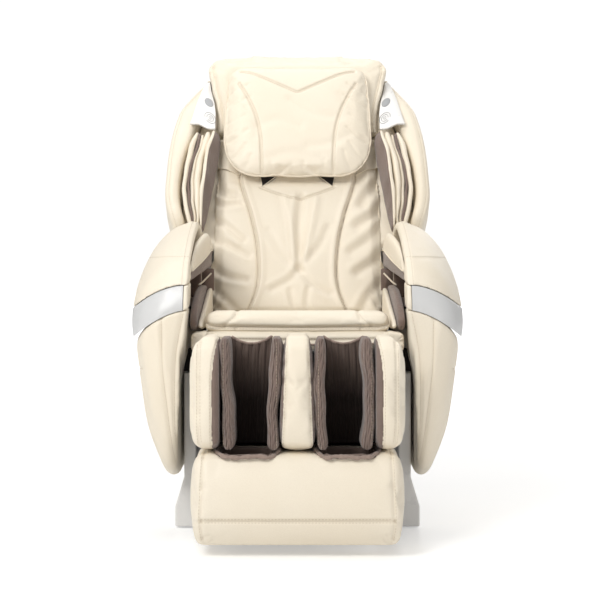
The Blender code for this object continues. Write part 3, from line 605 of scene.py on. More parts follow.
# near-black cloth for the real mesh vents, also used for sheets of painted shade in dark gaps
BLACK_MESH_AND_SHADE = fabric("black_mesh_and_shade_cloth", (0.012, 0.009, 0.008), 700)
WHITE = plastic("white_plastic", (0.80, 0.79, 0.775), 0.30)
SILVER = plastic("silver_trim", (0.62, 0.625, 0.63), 0.36, 0.25)
GREY = plastic("grey_plastic", (0.22, 0.225, 0.23), 0.4)
LENS = plastic("smoked_lens", (0.36, 0.37, 0.385), 0.5, 0.0)
BLACK = plastic("black_plastic", (0.022, 0.021, 0.021), 0.46)
STEEL = metal("painted_steel", (0.045, 0.045, 0.05), 0.42, 0.75)
CHROME = metal("chromed_steel", (0.78, 0.78, 0.79), 0.16)
RUBBER = rubber("black_rubber", (0.022, 0.021, 0.021))


def finished(obj, material, body, slot, *replaced):
    """Gives the piece its material, its CAD body and the nodes it stands for."""
    obj.data.materials.clear()
    obj.data.materials.append(material)
    obj.data.shade_smooth()
    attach(obj, body)
    if replaced:
        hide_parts(*replaced)
    return obj


def sewn_thread(name, surface, line, facing, body, rows=(0.0,)):
    threads = []
    facing = np.array(facing, float)
    ahead = np.gradient(np.array(line, float), axis=0)
    across = np.cross(ahead, facing)
    across /= np.maximum(np.linalg.norm(across, axis=1, keepdims=True), 1e-9)
    for k, offset in enumerate(rows):
        points = laid_on(surface, np.array(line) + across * offset, facing, 0.0003)
        if len(points) > 3:
            threads.append(stitches(f"{name}_row{k}", points))
    if not threads:
        return None
    return finished(joined(name, threads), THREAD, body, "cream_leather")


def corded(name, surface, line, facing, body, radius=0.0026, material=None, lift=0.0):
    """Piping along a line on the surface."""
    points = laid_on(surface, line, facing, lift)
    return finished(tube(name, points, radius), material or PIPING, body, "cream_leather")


# ---- head pillow ----------------------------------------------------------------------------
PILLOW_TOP, PILLOW_LOW, PILLOW_HALF = -0.006, -0.389, 0.207
PILLOW_REAR, PILLOW_FRONT = 0.000, -0.046


def pillow_outline(count=120):
    side = [(0.0, -0.013), (0.140, -0.017), (0.180, -0.026), (0.2015, -0.054), (0.2105, -0.13), (0.2125, -0.22)]
    side += [(0.2095, -0.285), (0.195, -0.334), (0.163, -0.369), (0.114, -0.386), (0.0, -0.391)]
    points = spline(side, count // 2)
    other = points[::-1][1:-1] * np.array((-1, 1))
    return np.vstack((points, other))


def crowned_panel(name, outline, rear, front, place, crown, rim=0.5, rings=9, sag=None):
    """A closed cushion over a flat outline: a rounded rim, a swelling front and a flat rear."""
    outline = np.array(outline, float)
    centre = outline.mean(axis=0)
    layers = []
    middle = rear + (front - rear) * rim
    for k in range(rings):  # rear face, from the middle out to the rim
        share = math.sin((k + 0.15) / (rings - 0.85) * math.pi / 2)
        depth = rear + (middle - rear) * (1 - math.sqrt(max(0.0, 1 - share**6)))
        layers.append((share, depth))
    for k in range(rings, -1, -1):  # front face, from the rim in to the middle
        share = math.sin((k + 0.15) / (rings + 0.15) * math.pi / 2) if k else 0.04
        depth = middle + (front - middle) * (1 - share**4) ** 0.5 - crown * (1 - share**2)
        layers.append((share, depth))
    made = []
    for share, depth in layers:
        ring = centre + (outline - centre) * share
        made.append(placed(np.column_stack((ring[:, 0], np.full(len(ring), depth), ring[:, 1])), place))
    obj = loft(name, made)
    return obj


def head_pillow():
    pillow = crowned_panel(
        "head_pillow_cushion", pillow_outline(), PILLOW_REAR, PILLOW_FRONT + 0.007, PILLOW_PLACE, 0.006
    )
    remeshed(pillow, 0.0055, 5)
    inverse = PILLOW_PLACE.inverted()

    def held(points):
        local = placed(points, inverse)
        return local[:, 1] > -0.003

    inflated(pillow, 5.0, 0.014, held)
    subdivided(pillow)
    top_v = on_pillow([
        (-0.164, -0.043), (-0.138, -0.051), (-0.006, -0.1215), (0.0, -0.123), (0.006, -0.1215), (0.138, -0.051), (0.164, -0.043)
    ])
    side = on_pillow([(0.168, -0.088), (0.143, -0.135), (0.119, -0.195), (0.106, -0.255), (0.101, -0.320), (0.100, -0.386)])
    other = mirrored(side)
    for line in (resampled(top_v, 0.006), spline(side, 40), spline(other, 40)):
        pressed(pillow, line, 0.0040, 0.0045, BACK_FRONT)
    for (x0, s0), (x1, s1), (x2, s2), width, deep in (
        ((-0.020, -0.150), (0.050, -0.195), (0.120, -0.205), 0.016, 0.0030),
        ((-0.110, -0.235), (-0.060, -0.215), (0.005, -0.235), 0.015, 0.0024),
        ((-0.150, -0.170), (-0.120, -0.215), (-0.118, -0.270), 0.012, 0.0022),
        ((0.030, -0.300), (0.090, -0.290), (0.150, -0.260), 0.014, 0.0026),
        ((-0.090, -0.340), (-0.020, -0.320), (0.060, -0.335), 0.015, 0.0022),
        ((0.120, -0.130), (0.150, -0.175), (0.190, -0.190), 0.012, 0.0020),
    ):
        pressed(pillow, spline(on_pillow([(x0, s0), (x1, s1), (x2, s2)]), 16), width, deep, BACK_FRONT)
    for x, s, dx, ds, deep in (  # creases that gathered leather leaves near the rim
        (0.203, -0.115, -0.060, 0.022, 0.0022), (0.204, -0.160, -0.070, 0.030, 0.0026),
        (0.204, -0.215, -0.055, 0.020, 0.0020), (0.200, -0.275, -0.060, 0.036, 0.0026),
        (0.186, -0.330, -0.040, 0.045, 0.0024), (0.150, -0.366, -0.020, 0.050, 0.0022),
        (0.070, -0.385, 0.004, 0.042, 0.0018), (0.020, -0.387, -0.004, 0.036, 0.0018),
    ):
        for side_sign in (-1, 1):
            wobble = 1 if side_sign > 0 else 0.82
            line = on_pillow([
                (side_sign * x, s),
                (side_sign * (x + dx * 0.5), s + ds * 0.3 * wobble),
                (side_sign * (x + dx), s + ds * wobble),
            ])
            pressed(pillow, spline(line, 12), 0.0065, deep * wobble, BACK_FRONT)
    finished(pillow, CREAM, "pillow", "cream_leather", "head_pillow")
    sewn_thread("pillow_thread_top", pillow, resampled(top_v, 0.004), BACK_FRONT, "pillow", (-0.0045, 0.0045))
    for word, line in (("right", side), ("left", other)):
        sewn_thread(f"pillow_thread_{word}", pillow, spline(line, 40), BACK_FRONT, "pillow", (-0.0045, 0.0045))
    rim = pillow_outline(160) * np.array((1.004, 1.003))
    rim_line = placed(np.column_stack((rim[:, 0], np.full(len(rim), -0.022), rim[:, 1])), PILLOW_PLACE)
    tree = surface_of(pillow)
    points = []
    for p in rim_line:
        hit, normal, _, _ = tree.find_nearest(Vector(p))
        points.append(hit + normal * 0.0008)
    cord = tube("pillow_piping", points, 0.0030, closed=True)
    finished(cord, PIPING, "pillow", "cream_leather")


def on_pillow(points):
    return placed([(x, PILLOW_FRONT, s) for x, s in points], PILLOW_PLACE)


head_pillow()


# ---- head cover -----------------------------------------------------------------------------
def split_finely(obj):
    """Splits large faces so that the shape can be bent."""
    bm = bmesh.new()
    bm.from_mesh(obj.data)
    bmesh.ops.triangulate(bm, faces=bm.faces)
    for _ in range(5):
        long = [e for e in bm.edges if e.calc_length() > 0.016]
        if long:
            bmesh.ops.subdivide_edges(bm, edges=long, cuts=1)
            bmesh.ops.triangulate(bm, faces=bm.faces)
    bm.to_mesh(obj.data)
    bm.free()


# Half width of the head cover at each height, with a rounded corner at the top
COVER_HALF = [(0.606, 0.2280), (0.66, 0.2290), (0.72, 0.2350), (0.77, 0.2470), (0.80, 0.2525), (0.826, 0.2590)]
COVER_HALF += [(0.842, 0.2590), (0.857, 0.2500), (0.872, 0.2330), (0.881, 0.2050), (0.888, 0.160), (0.92, 0.140)]


HEAD_CLEARANCE = -0.0945  # the massage heads pass behind this depth


def cover_limit(local):
    """Squeezes points into the cover's front outline, which fades out towards the rear overhang."""
    rearward = np.clip((local[:, 1] + 0.095) / 0.070, 0, 1)
    half = reading(COVER_HALF, local[:, 2]) * (1 - rearward) + 0.238 * rearward
    local[:, 0] = np.clip(local[:, 0], -half, half)
    return local


def head_cover():
    cover = copy_of("head_cover_pad", "head_cover")
    inverse = BACK_PLACE.inverted()
    split_finely(cover)
    local = placed(coordinates(cover), inverse)
    local[:, 0] *= 1.07
    set_coordinates(cover, placed(cover_limit(local), BACK_PLACE))
    remeshed(cover, 0.007, 4)

    def held(points):
        local = placed(points, inverse)
        return (local[:, 1] > -0.100) & (local[:, 2] < 0.86)

    inflated(cover, 3.0, 0.009, held)
    local = cover_limit(placed(coordinates(cover), inverse) * (1.012, 1, 1))
    local[:, 1] = np.where(local[:, 2] < 0.785, np.minimum(local[:, 1], HEAD_CLEARANCE), local[:, 1])
    set_coordinates(cover, placed(local, BACK_PLACE))
    subdivided(cover)
    heights = np.linspace(0.62, 0.845, 40)
    for sign, word in SIDES:
        line = on_back([(sign * (reading(COVER_HALF, s) - 0.014), s) for s in heights])
        pressed(cover, line, 0.0045, 0.004, BACK_FRONT)
        corded(f"head_cover_piping_{word}", cover, line, BACK_FRONT, "backrest", 0.0022, lift=-0.0006)
    for x0, s0, x1, s1, deep in ((-0.20, 0.855, -0.05, 0.868, 0.0025), (0.03, 0.868, 0.19, 0.858, 0.002)):
        pressed(cover, spline(on_back([(x0, s0), ((x0 + x1) / 2, (s0 + s1) / 2 + 0.003), (x1, s1)]), 20), 0.010, deep, BACK_FRONT)
    finished(cover, CREAM, "backrest", "cream_leather", "head_cover")


head_cover()


# ---- back cushion ---------------------------------------------------------------------------
# Folds of the loose cover: points across the back, width and depth
BACK_FOLDS = (
    (((0.010, 0.405), (0.004, 0.30), (0.006, 0.185)), 0.013, 0.0085),
    (((-0.036, 0.405), (-0.018, 0.31), (-0.001, 0.190)), 0.011, -0.0040),
    (((0.052, 0.400), (0.036, 0.30), (0.014, 0.190)), 0.011, -0.0045),
    (((0.006, 0.185), (-0.020, 0.150), (-0.070, 0.120)), 0.012, 0.0040),
    (((0.006, 0.185), (0.040, 0.140), (0.085, 0.110)), 0.012, 0.0045),
    (((-0.020, 0.120), (-0.012, 0.080), (0.004, 0.048)), 0.009, 0.0035),
    (((0.030, 0.125), (0.024, 0.085), (0.030, 0.050)), 0.009, 0.0030),
    (((-0.080, 0.30), (-0.045, 0.235), (-0.006, 0.190)), 0.012, 0.0030),
    (((0.085, 0.31), (0.060, 0.250), (0.020, 0.200)), 0.012, 0.0035),
    (((0.236, 0.466), (0.205, 0.432), (0.180, 0.385)), 0.016, 0.0085),
    (((0.240, 0.392), (0.212, 0.352), (0.168, 0.318)), 0.017, 0.0090),
    (((0.240, 0.330), (0.193, 0.272), (0.148, 0.236)), 0.015, 0.0055),
    (((0.240, 0.245), (0.208, 0.204), (0.165, 0.172)), 0.016, 0.0075),
    (((0.232, 0.150), (0.198, 0.108), (0.172, 0.062)), 0.014, 0.0050),
    (((-0.230, 0.470), (-0.212, 0.430), (-0.176, 0.415)), 0.014, 0.0090),
    (((-0.236, 0.405), (-0.205, 0.385), (-0.160, 0.390)), 0.011, 0.0065),
    (((-0.238, 0.345), (-0.200, 0.320), (-0.150, 0.275)), 0.012, 0.0075),
    (((-0.240, 0.285), (-0.205, 0.265), (-0.135, 0.225)), 0.011, 0.0060),
    (((-0.240, 0.215), (-0.200, 0.165), (-0.140, 0.150)), 0.012, 0.0070),
    (((-0.240, 0.150), (-0.205, 0.105), (-0.160, 0.060)), 0.011, 0.0055),
    (((-0.236, 0.090), (-0.215, 0.070), (-0.190, 0.045)), 0.009, 0.0040),
)


def creased(surface, line, width, depth, facing):
    """A soft fold: a valley with a low crest beside it."""
    pressed(surface, line, width, depth, facing)
    across = np.cross(np.gradient(line, axis=0), np.array(facing))
    across /= np.maximum(np.linalg.norm(across, axis=1, keepdims=True), 1e-9)
    pressed(surface, line + across * width * 1.5, width * 0.8, -0.4 * depth, facing)


# Lower edge of the head cover's flap: (distance from the middle, height)
FLAP_EDGE = [(0.0, 0.474), (0.11, 0.474), (0.130, 0.476), (0.153, 0.480), (0.200, 0.497), (0.232, 0.515)]


def cover_flap(cushion):
    """The head cover's flap, which hangs over the cushion in a shallow V below the pillow."""
    tree, facing = surface_of(cushion), Vector(BACK_FRONT)
    rows = []
    for share in np.linspace(0, 1, 36):
        row = []
        for x in np.linspace(-0.2265, 0.2265, 90):
            s = 0.598 + (reading(FLAP_EDGE, abs(x)) - 0.598) * share
            start = Vector(placed([(x, -0.30, s)], BACK_PLACE)[0])
            hit = tree.ray_cast(start, -facing)[0] or Vector(placed([(x, -0.112, s)], BACK_PLACE)[0])
            wave = 0.0010 * math.sin(x * 95 + 2) * share
            row.append(hit + facing * (0.0030 + wave))
        rows.append(np.array(row))
    flap = sheet_between("head_cover_flap", rows, 0.0030)
    finished(flap, CREAM, "backrest", "cream_leather")
    hem = tube("head_cover_flap_hem", rows[-1] + np.array(facing) * 0.0005, 0.0021)
    finished(hem, PIPING, "backrest", "cream_leather")


def back_cushion():
    half = [(0.230, 0.037), (0.2400, 0.10), (0.2415, 0.16), (0.2405, 0.28), (0.2360, 0.44), (0.2290, 0.610)]
    right = spline(half, 50)
    bottom = [(x, 0.036) for x in np.linspace(-0.21, 0.21, 24)]
    top = [(x, 0.611) for x in np.linspace(0.20, -0.20, 24)]
    outline = np.vstack((bottom, right, top, right[::-1] * np.array((-1, 1))))
    cushion = crowned_panel("back_cushion_cover", outline, -0.0955, -0.122, BACK_PLACE, 0.0, rim=0.35)
    remeshed(cushion, 0.0065, 4)
    inverse = BACK_PLACE.inverted()
    ridge = [(0.159, 0.60), (0.159, 0.4665), (0.128, 0.349), (0.109, 0.248), (0.108, 0.136), (0.139, 0.043)]
    ridges = {1: spline(on_back(ridge), 60)}
    ridges[-1] = mirrored(ridges[1])

    def held(points):
        local = placed(points, inverse)
        return local[:, 1] > -0.101

    inflated(cushion, 4.0, 0.012, held)
    local = placed(coordinates(cushion), inverse)
    under_pillow = np.clip((local[:, 2] - 0.40) / 0.06, 0, 1)
    local[:, 1] = np.maximum(local[:, 1], -0.145 + 0.018 * under_pillow)
    set_coordinates(cushion, placed(local, BACK_PLACE))
    subdivided(cushion)
    for sign in (-1, 1):
        line = ridges[sign]
        stepped(cushion, line, 0.0085, 0.030, (sign, 0, 0), BACK_FRONT)
        pressed(cushion, line + np.array((sign * 0.0015, 0, 0)), 0.0038, 0.0060, BACK_FRONT)
        pressed(cushion, line - np.array((sign * 0.010, 0, 0)), 0.008, -0.0030, BACK_FRONT)
    yoke = spline(on_back([(-0.105, 0.436), (-0.050, 0.413), (0.0, 0.400), (0.050, 0.413), (0.105, 0.436)]), 40)
    pressed(cushion, yoke, 0.0034, 0.0042, BACK_FRONT)
    for points, width, deep in BACK_FOLDS:
        creased(cushion, spline(on_back(points), 18), width, deep, BACK_FRONT)
    finished(cushion, CREAM, "backrest", "cream_leather", "back_cushion")
    for sign, word in SIDES:
        line = ridges[sign]
        sewn_thread(f"back_thread_{word}", cushion, line, BACK_FRONT, "backrest", (-0.005, 0.005))
        pocket(f"back_pocket_{word}", cushion, sign)
    sewn_thread("back_thread_yoke", cushion, yoke, BACK_FRONT, "backrest", (-0.004, 0.004))
    cover_flap(cushion)


def pocket(name, cushion, sign):
    """A dark three-cornered vent let into the cushion below the pillow."""
    corners = [(0.060, 0.4700), (0.1045, 0.4700), (0.0985, 0.4375)]
    flat = placed([(sign * x, -0.13, s) for x, s in corners + corners[:1]], BACK_PLACE)
    facing = np.array(BACK_FRONT)
    outline = resampled(flat, 0.003)
    outward = [(p @ facing) for p in laid_on(cushion, outline, facing)]
    level = max(outward) + 0.0012
    edge = outline + facing * (level - outline @ facing)[:, None]
    middle = edge.mean(axis=0)
    rings = [edge - facing * 0.008, edge]
    rings += [middle + (edge - middle) * share - facing * 0.0006 for share in (0.9, 0.5, 0.02)]
    finished(loft(name, rings), BLACK_MESH_AND_SHADE, "backrest", "black_plastic")
    rim = tube(f"{name}_rim", edge[:-1], 0.0010, closed=True)
    finished(rim, PIPING, "backrest", "cream_leather")


back_cushion()


# ---- leather between the back cushion and the wings -----------------------------------------
def back_liners():
    """Leather beside the cushion behind the shoulder airbags, and above them."""
    reach = [(0.0, 0.226), (0.20, 0.238), (0.272, 0.245), (0.292, 0.292), (0.36, 0.318), (0.46, 0.318)]
    reach += [(0.59, 0.292), (0.65, 0.277), (0.705, 0.259), (0.755, 0.2475), (0.80, 0.2505)]
    for part, low_s, high_s, material, slot in (
        ("side", 0.045, 0.540, CREAM, "cream_leather"),
        ("shoulder", 0.541, 0.800, CREAM, "cream_leather"),
    ):
        for sign, word in SIDES:
            rows = []
            for s in np.linspace(low_s, high_s, 60):
                low, high = 0.196 + 0.012 * min(1.0, s / 0.6), reading(reach, s)
                row = []
                for t in np.linspace(0, 1, 26):
                    depth = -0.090 - 0.012 * math.sin(math.pi * t) - 0.0016 * math.sin(s * 95 + 4 * t)
                    row.append((sign * (low + (high - low) * t), depth, s))
                rows.append(placed(row, BACK_PLACE))
            finished(sheet_between(f"back_{part}_liner_{word}", rows, 0.0035), material, "backrest", slot)


back_liners()


def shell_cap():
    """Leather from the head cover's rear edge to the bowed top of the back shell."""
    rows = []
    for share in np.linspace(0, 1, 14):
        row = []
        for x in np.linspace(-0.232, 0.232, 80):
            far = 0.045 + 0.115 * (1 - abs(x / 0.250) ** 2.6)
            row.append((x, 0.040 + (far - 0.040) * share, 0.8645 - 0.0012 * share))
        rows.append(placed(row, BACK_PLACE))
    finished(sheet_between("back_shell_cap", rows, 0.0022), CREAM, "backrest", "cream_leather")
    for sign, word in SIDES:
        rows = []
        for y in np.linspace(-0.062, 0.0425, 24):
            rows.append(placed([(sign * x, y, 0.8345) for x in np.linspace(0.228, 0.2660, 12)], BACK_PLACE))
        finished(sheet_between(f"back_top_gusset_{word}", rows, 0.0022), CREAM, "backrest", "cream_leather")


shell_cap()


# ---- arms -----------------------------------------------------------------------------------
ARM_SECTION = [  # front view of the fullest section: top, outer side down, inner side up
    (0.262, 0.763), (0.300, 0.758), (0.334, 0.740), (0.366, 0.706), (0.388, 0.668), (0.404, 0.628),
    (0.413, 0.583), (0.412, 0.540), (0.404, 0.490), (0.392, 0.386), (0.374, 0.262), (0.343, 0.166),
    (0.322, 0.128), (0.298, 0.126), (0.289, 0.165), (0.287, 0.380), (0.270, 0.470), (0.264, 0.560),
    (0.2575, 0.680),
]
ARM_INNER, ARM_LOW, ARM_HIGH = 0.257, 0.126, 0.763
ARM_FRONT, ARM_REAR = -0.440, 0.240
ARM_TOP = [(-0.44, 0.560), (-0.42, 0.600), (-0.38, 0.640), (-0.28, 0.692), (-0.15, 0.738)]
ARM_TOP += [(-0.02, 0.763), (0.05, 0.755), (0.09, 0.735), (0.13, 0.693), (0.19, 0.655), (0.24, 0.56)]
ARM_BOTTOM = [(-0.44, 0.36), (-0.42, 0.27), (-0.38, 0.195), (-0.28, 0.139), (-0.15, 0.126)]
ARM_BOTTOM += [(-0.02, 0.136), (0.09, 0.185), (0.19, 0.275), (0.24, 0.38)]
ARM_FULLNESS = [(-0.44, 0.52), (-0.42, 0.70), (-0.38, 0.84), (-0.28, 0.95), (-0.15, 1.0)]
ARM_FULLNESS += [(0.0, 1.0), (0.09, 0.95), (0.19, 0.78), (0.24, 0.50)]
FOREARM_ROOM = [(0.20, 0.737), (0.285, 0.733), (0.320, 0.716), (0.350, 0.680), (0.370, 0.635)]
FOREARM_ROOM += [(0.375, 0.56), (0.345, 0.45), (0.20, 0.45)]
BAND_TOP, BAND_LOW = 0.0335, -0.0215  # edges of the trim band above its middle line, at the inner end
STRIP_OUTER = 0.2695  # a leather strip covers the inner end of the band


def arm_section(y, outline):
    """A section of the arm at y: the outline squeezed between the side view's top and bottom."""
    low, high, full = reading(ARM_BOTTOM, y), reading(ARM_TOP, y), reading(ARM_FULLNESS, y)
    share = (outline[:, 1] - ARM_LOW) / (ARM_HIGH - ARM_LOW)
    x = ARM_INNER + (outline[:, 0] - ARM_INNER) * full
    return np.column_stack((x, np.full(len(x), y), low + share * (high - low)))


def arm_body(name, inset=0.0):
    """The right arm's whole padded shape, with a rounded nose and tail."""
    outline = spline(ARM_SECTION, 150, closed=True)
    centre = np.array((0.33, 0.45))
    outline = centre + (outline - centre) * (1 - inset / np.array((0.075, 0.31)))
    rings = []
    for y in np.linspace(ARM_FRONT, ARM_REAR, 70):
        rings.append(arm_section(y, outline))
    nose, tail = rings[0], rings[-1]
    shrink = lambda ring, share, y: ring.mean(axis=0) * (1, 0, 1) + (ring - ring.mean(axis=0)) * (share, 0, share) + (0, y, 0)
    rings = [shrink(nose, 0.80, ARM_FRONT - 0.002)] + rings + [shrink(tail, 0.75, ARM_REAR + 0.002)]
    return loft(name, rings)


def band_height(x, y):
    """Middle height of the trim band: level at the inner edge, falling outward, rising rearward."""
    out = np.maximum(0.0, (np.abs(x) - 0.26) / 0.15)
    return 0.566 - 0.075 * out * out + 0.09 * (y - ARM_FRONT)


def band_low(x):
    """Lower edge of the band above its middle line: the band widens outward."""
    out = np.clip((np.abs(x) - 0.26) / 0.15, 0.0, 1.0)
    return BAND_LOW - 0.0155 * out


def band_zone(low, high):
    """A solid that fills the arm between two heights above the band's middle line."""
    xs = np.linspace(0.19, 0.45, 24)
    low, high = (edge(xs) if callable(edge) else np.full(24, edge) for edge in (low, high))
    rings = []
    for y in np.linspace(ARM_FRONT - 0.04, ARM_REAR + 0.04, 24):
        middle = band_height(xs, y)
        upper = np.column_stack((xs, np.full(24, y), middle + high))
        lower = np.column_stack((xs, np.full(24, y), middle + low))[::-1]
        rings.append(np.vstack((upper, lower)))
    return loft("zone", rings)


def box_tool(low, high):
    low, high = Vector(low), Vector(high)
    bpy.ops.mesh.primitive_cube_add(size=1, location=(low + high) / 2, scale=high - low)
    obj = bpy.context.active_object
    bpy.ops.object.transform_apply(location=True, rotation=True, scale=True)
    return obj


def arm_hood():
    """The padded hood over the forearm, open towards the seat."""
    hood = arm_body("arm_hood_right")
    boolean(hood, band_zone(-0.60, BAND_TOP + 0.0010))
    room = spline(FOREARM_ROOM, 70, closed=True)
    stations = [(-0.345, 0.93)] + [(y, 1.0) for y in np.linspace(-0.33, 0.085, 14)] + [(0.098, 0.93)]
    rings = []
    for y, share in stations:
        ring = arm_section(y, room)
        centre = ring.mean(axis=0)
        rings.append(centre + (ring - centre) * (1, 1, share))
    boolean(hood, loft("room", rings))
    remeshed(hood, 0.0045, 7)
    level = np.array([(x, -0.6, 0.6660) for x in np.linspace(0.264, 0.385, 40)])
    edge = np.array([(0.2700, y, 0.9) for y in np.linspace(-0.435, 0.20, 60)])
    lines = ((level, FRONT), (edge, Vector((0, 0, 1))))
    for line, facing in lines:
        pressed(hood, line, 0.0040, 0.0026, facing)
    return hood, lines


def arm_side_panel():
    """The padded panel below the band, a little inside the band's line."""
    panel = arm_body("arm_side_panel_right", inset=0.0020)
    boolean(panel, band_zone(lambda x: band_low(x) - 0.0010, 0.60))
    boolean(panel, box_tool((0.19, -0.342, 0.5446), (0.3405, 0.102, 0.80)))
    remeshed(panel, 0.0048, 7)
    co = coordinates(panel)
    top = band_height(co[:, 0], co[:, 1]) + band_low(co[:, 0])
    near = np.clip(1 - (top - co[:, 2]) / 0.05, 0, 1) * np.clip((co[:, 0] - 0.33) / 0.06, 0, 1)
    co[:, 0] -= 0.010 * near**2
    set_coordinates(panel, co)
    front = spline([(0.3205, -0.6, 0.530), (0.3180, -0.6, 0.410), (0.3060, -0.6, 0.2926), (0.2940, -0.6, 0.176)], 50)
    inner = spline([(0.2690, -0.6, 0.536), (0.2840, -0.6, 0.458), (0.2885, -0.6, 0.402), (0.2905, -0.6, 0.30), (0.2890, -0.6, 0.180)], 50)
    level = spline([(0.46, -0.38, 0.402), (0.46, -0.25, 0.398), (0.46, 0.0, 0.412), (0.46, 0.20, 0.44)], 50)
    lines = ((front, FRONT), (inner, FRONT), (level, Vector((1, 0, 0))))
    for line, facing in lines:
        pressed(panel, line, 0.0042, 0.0030, facing)
    return panel, lines


def arm_trim():
    """The glossy band between hood and side panel, and the leather strip over its inner end."""
    band = arm_body("arm_trim_right", inset=-0.0006)
    strip = arm_body("arm_strip_right", inset=0.0006)
    for piece in (band, strip):
        boolean(piece, band_zone(BAND_TOP, 0.60))
        boolean(piece, band_zone(-0.60, band_low))
        boolean(piece, box_tool((0.19, -0.342, 0.5446), (0.3405, 0.102, 0.80)))
    boolean(band, box_tool((0.19, -0.60, 0.30), (STRIP_OUTER + 0.0008, 0.30, 0.90)))
    boolean(strip, box_tool((STRIP_OUTER, -0.60, 0.30), (0.50, 0.30, 0.90)))
    remeshed(strip, 0.0032, 3)
    soften = band.modifiers.new("edge", "BEVEL")
    soften.width, soften.segments, soften.limit_method = 0.0022, 3, "ANGLE"
    soften.angle_limit = math.radians(50)
    applied(band)
    band.data.shade_smooth()
    band.data.set_sharp_from_angle(angle=math.radians(50))
    return band, strip


def mouth_lining():
    """Cloth on the wall behind the forearm rest, inside the hood."""
    path = [(0.3300, -0.332), (0.3375, -0.24), (0.3375, 0.080), (0.3290, 0.0955), (0.3180, 0.0975), (0.2620, 0.0975)]
    path = resampled(np.array([(x, y, 0) for x, y in path]), 0.006)
    rows = []
    for z in np.linspace(0.5640, 0.6440, 16):
        rows.append([(x + 0.0008 * math.sin(y * 60 + z * 40), y, z) for x, y, _ in path])
    return sheet_between("arm_mouth_lining_right", rows, 0.0026)


def arms():
    hood, hood_lines = arm_hood()
    panel, panel_lines = arm_side_panel()
    band, strip = arm_trim()
    threads = []
    for (line, facing), shift in zip(hood_lines, ((0, 0, 0.0042), (0.0042, 0, 0))):
        threads.append(stitches("thread", laid_on(hood, line + shift, facing, 0.0002)))
    hood_thread = joined("arm_hood_thread_right", threads)
    threads = []
    for line, facing in panel_lines:
        points = laid_on(panel, line, facing, 0.0002)
        if len(points) > 3:
            threads.append(stitches("thread", points))
    panel_thread = joined("arm_panel_thread_right", threads)
    for piece, material, slot, node in (
        (hood, CREAM, "cream_leather", "arm_upper"),
        (panel, CREAM, "cream_leather", "arm_lower"),
        (band, SILVER, "silver_trim", "arm_band"),
        (strip, CREAM, "cream_leather", None),
        (mouth_lining(), BROWN, "taupe_fabric", None),
        (hood_thread, THREAD, "cream_leather", None),
        (panel_thread, THREAD, "cream_leather", None),
    ):
        both(piece, material, "seat", slot, node)


def both(piece, material, body, slot, node=None):
    """Finishes a right-hand piece and its mirror image on the left."""
    left = mirror_copy(piece, piece.name.replace("_right", "_left"))
    for made, word in ((piece, "right"), (left, "left")):
        where = body.format(word)
        finished(made, material, where, slot, *([f"{node}_{word}"] if node else []))
        if material is SILVER:
            made.data.set_sharp_from_angle(angle=math.radians(50))


arms()


# ---- wings, shoulder airbags and speaker panels ---------------------------------------------
WING_FRONT = [(0.28, -0.118), (0.31, -0.160), (0.37, -0.178), (0.46, -0.184), (0.54, -0.172), (0.60, -0.157)]
WING_FRONT += [(0.652, -0.140), (0.70, -0.122), (0.745, -0.100), (0.780, -0.080), (0.81, -0.062), (0.838, -0.044)]
WING_INNER = [(0.28, 0.298), (0.31, 0.308), (0.37, 0.324), (0.46, 0.324), (0.59, 0.2976), (0.65, 0.283)]
WING_INNER += [(0.705, 0.265), (0.755, 0.2515), (0.80, 0.2545), (0.838, 0.2640)]
WING_OUTER = [(0.28, 0.335), (0.31, 0.348), (0.37, 0.3655), (0.46, 0.366), (0.54, 0.3625), (0.60, 0.357)]
WING_OUTER += [(0.652, 0.3495), (0.70, 0.3395), (0.745, 0.3215), (0.780, 0.3060), (0.81, 0.2920), (0.838, 0.2740)]


def wings():
    rings = []
    for s in np.linspace(0.281, 0.838, 64):
        front, inner, outer = reading(WING_FRONT, s), reading(WING_INNER, s), reading(WING_OUTER, s)
        rear, wide = 0.036, outer - inner
        corner = min(0.016, wide * 0.45)
        section = [(inner, rear), (inner, front + corner)]
        section += [(inner + corner * (1 - math.cos(a)), front + corner * (1 - math.sin(a))) for a in (0.4, 0.8, 1.2)]
        section += [(inner + wide * 0.5, front - 0.001)]
        section += [(outer - corner * (1 - math.cos(a)), front + corner * 1.5 * (1 - math.sin(a))) for a in (1.2, 0.8, 0.4)]
        section += [(outer + 0.0015, (front + rear) / 2), (outer, rear - 0.02), (outer - 0.008, rear)]
        rings.append(placed([(x, y, s) for x, y in section], BACK_PLACE))
    wing = loft("wing_pad_right", rings)
    remeshed(wing, 0.005, 6)
    edge = []
    for s in np.linspace(0.29, 0.815, 54):
        edge.append((reading(WING_OUTER, s) - 0.013, reading(WING_FRONT, s), s))
    edge = placed(edge, BACK_PLACE)
    pressed(wing, edge, 0.0042, 0.003, BACK_FRONT)
    side = placed([(0.40, 0.004, s) for s in np.linspace(0.31, 0.79, 40)], BACK_PLACE)
    pressed(wing, side, 0.0045, 0.003, (1, 0, 0))
    threads = [stitches("thread", laid_on(wing, edge, BACK_FRONT, 0.0002))]
    threads.append(stitches("thread", laid_on(wing, side, (1, 0, 0), 0.0002)))
    both(wing, CREAM, "backrest", "cream_leather", "wing")
    both(joined("wing_thread_right", threads), THREAD, "backrest", "cream_leather")


wings()

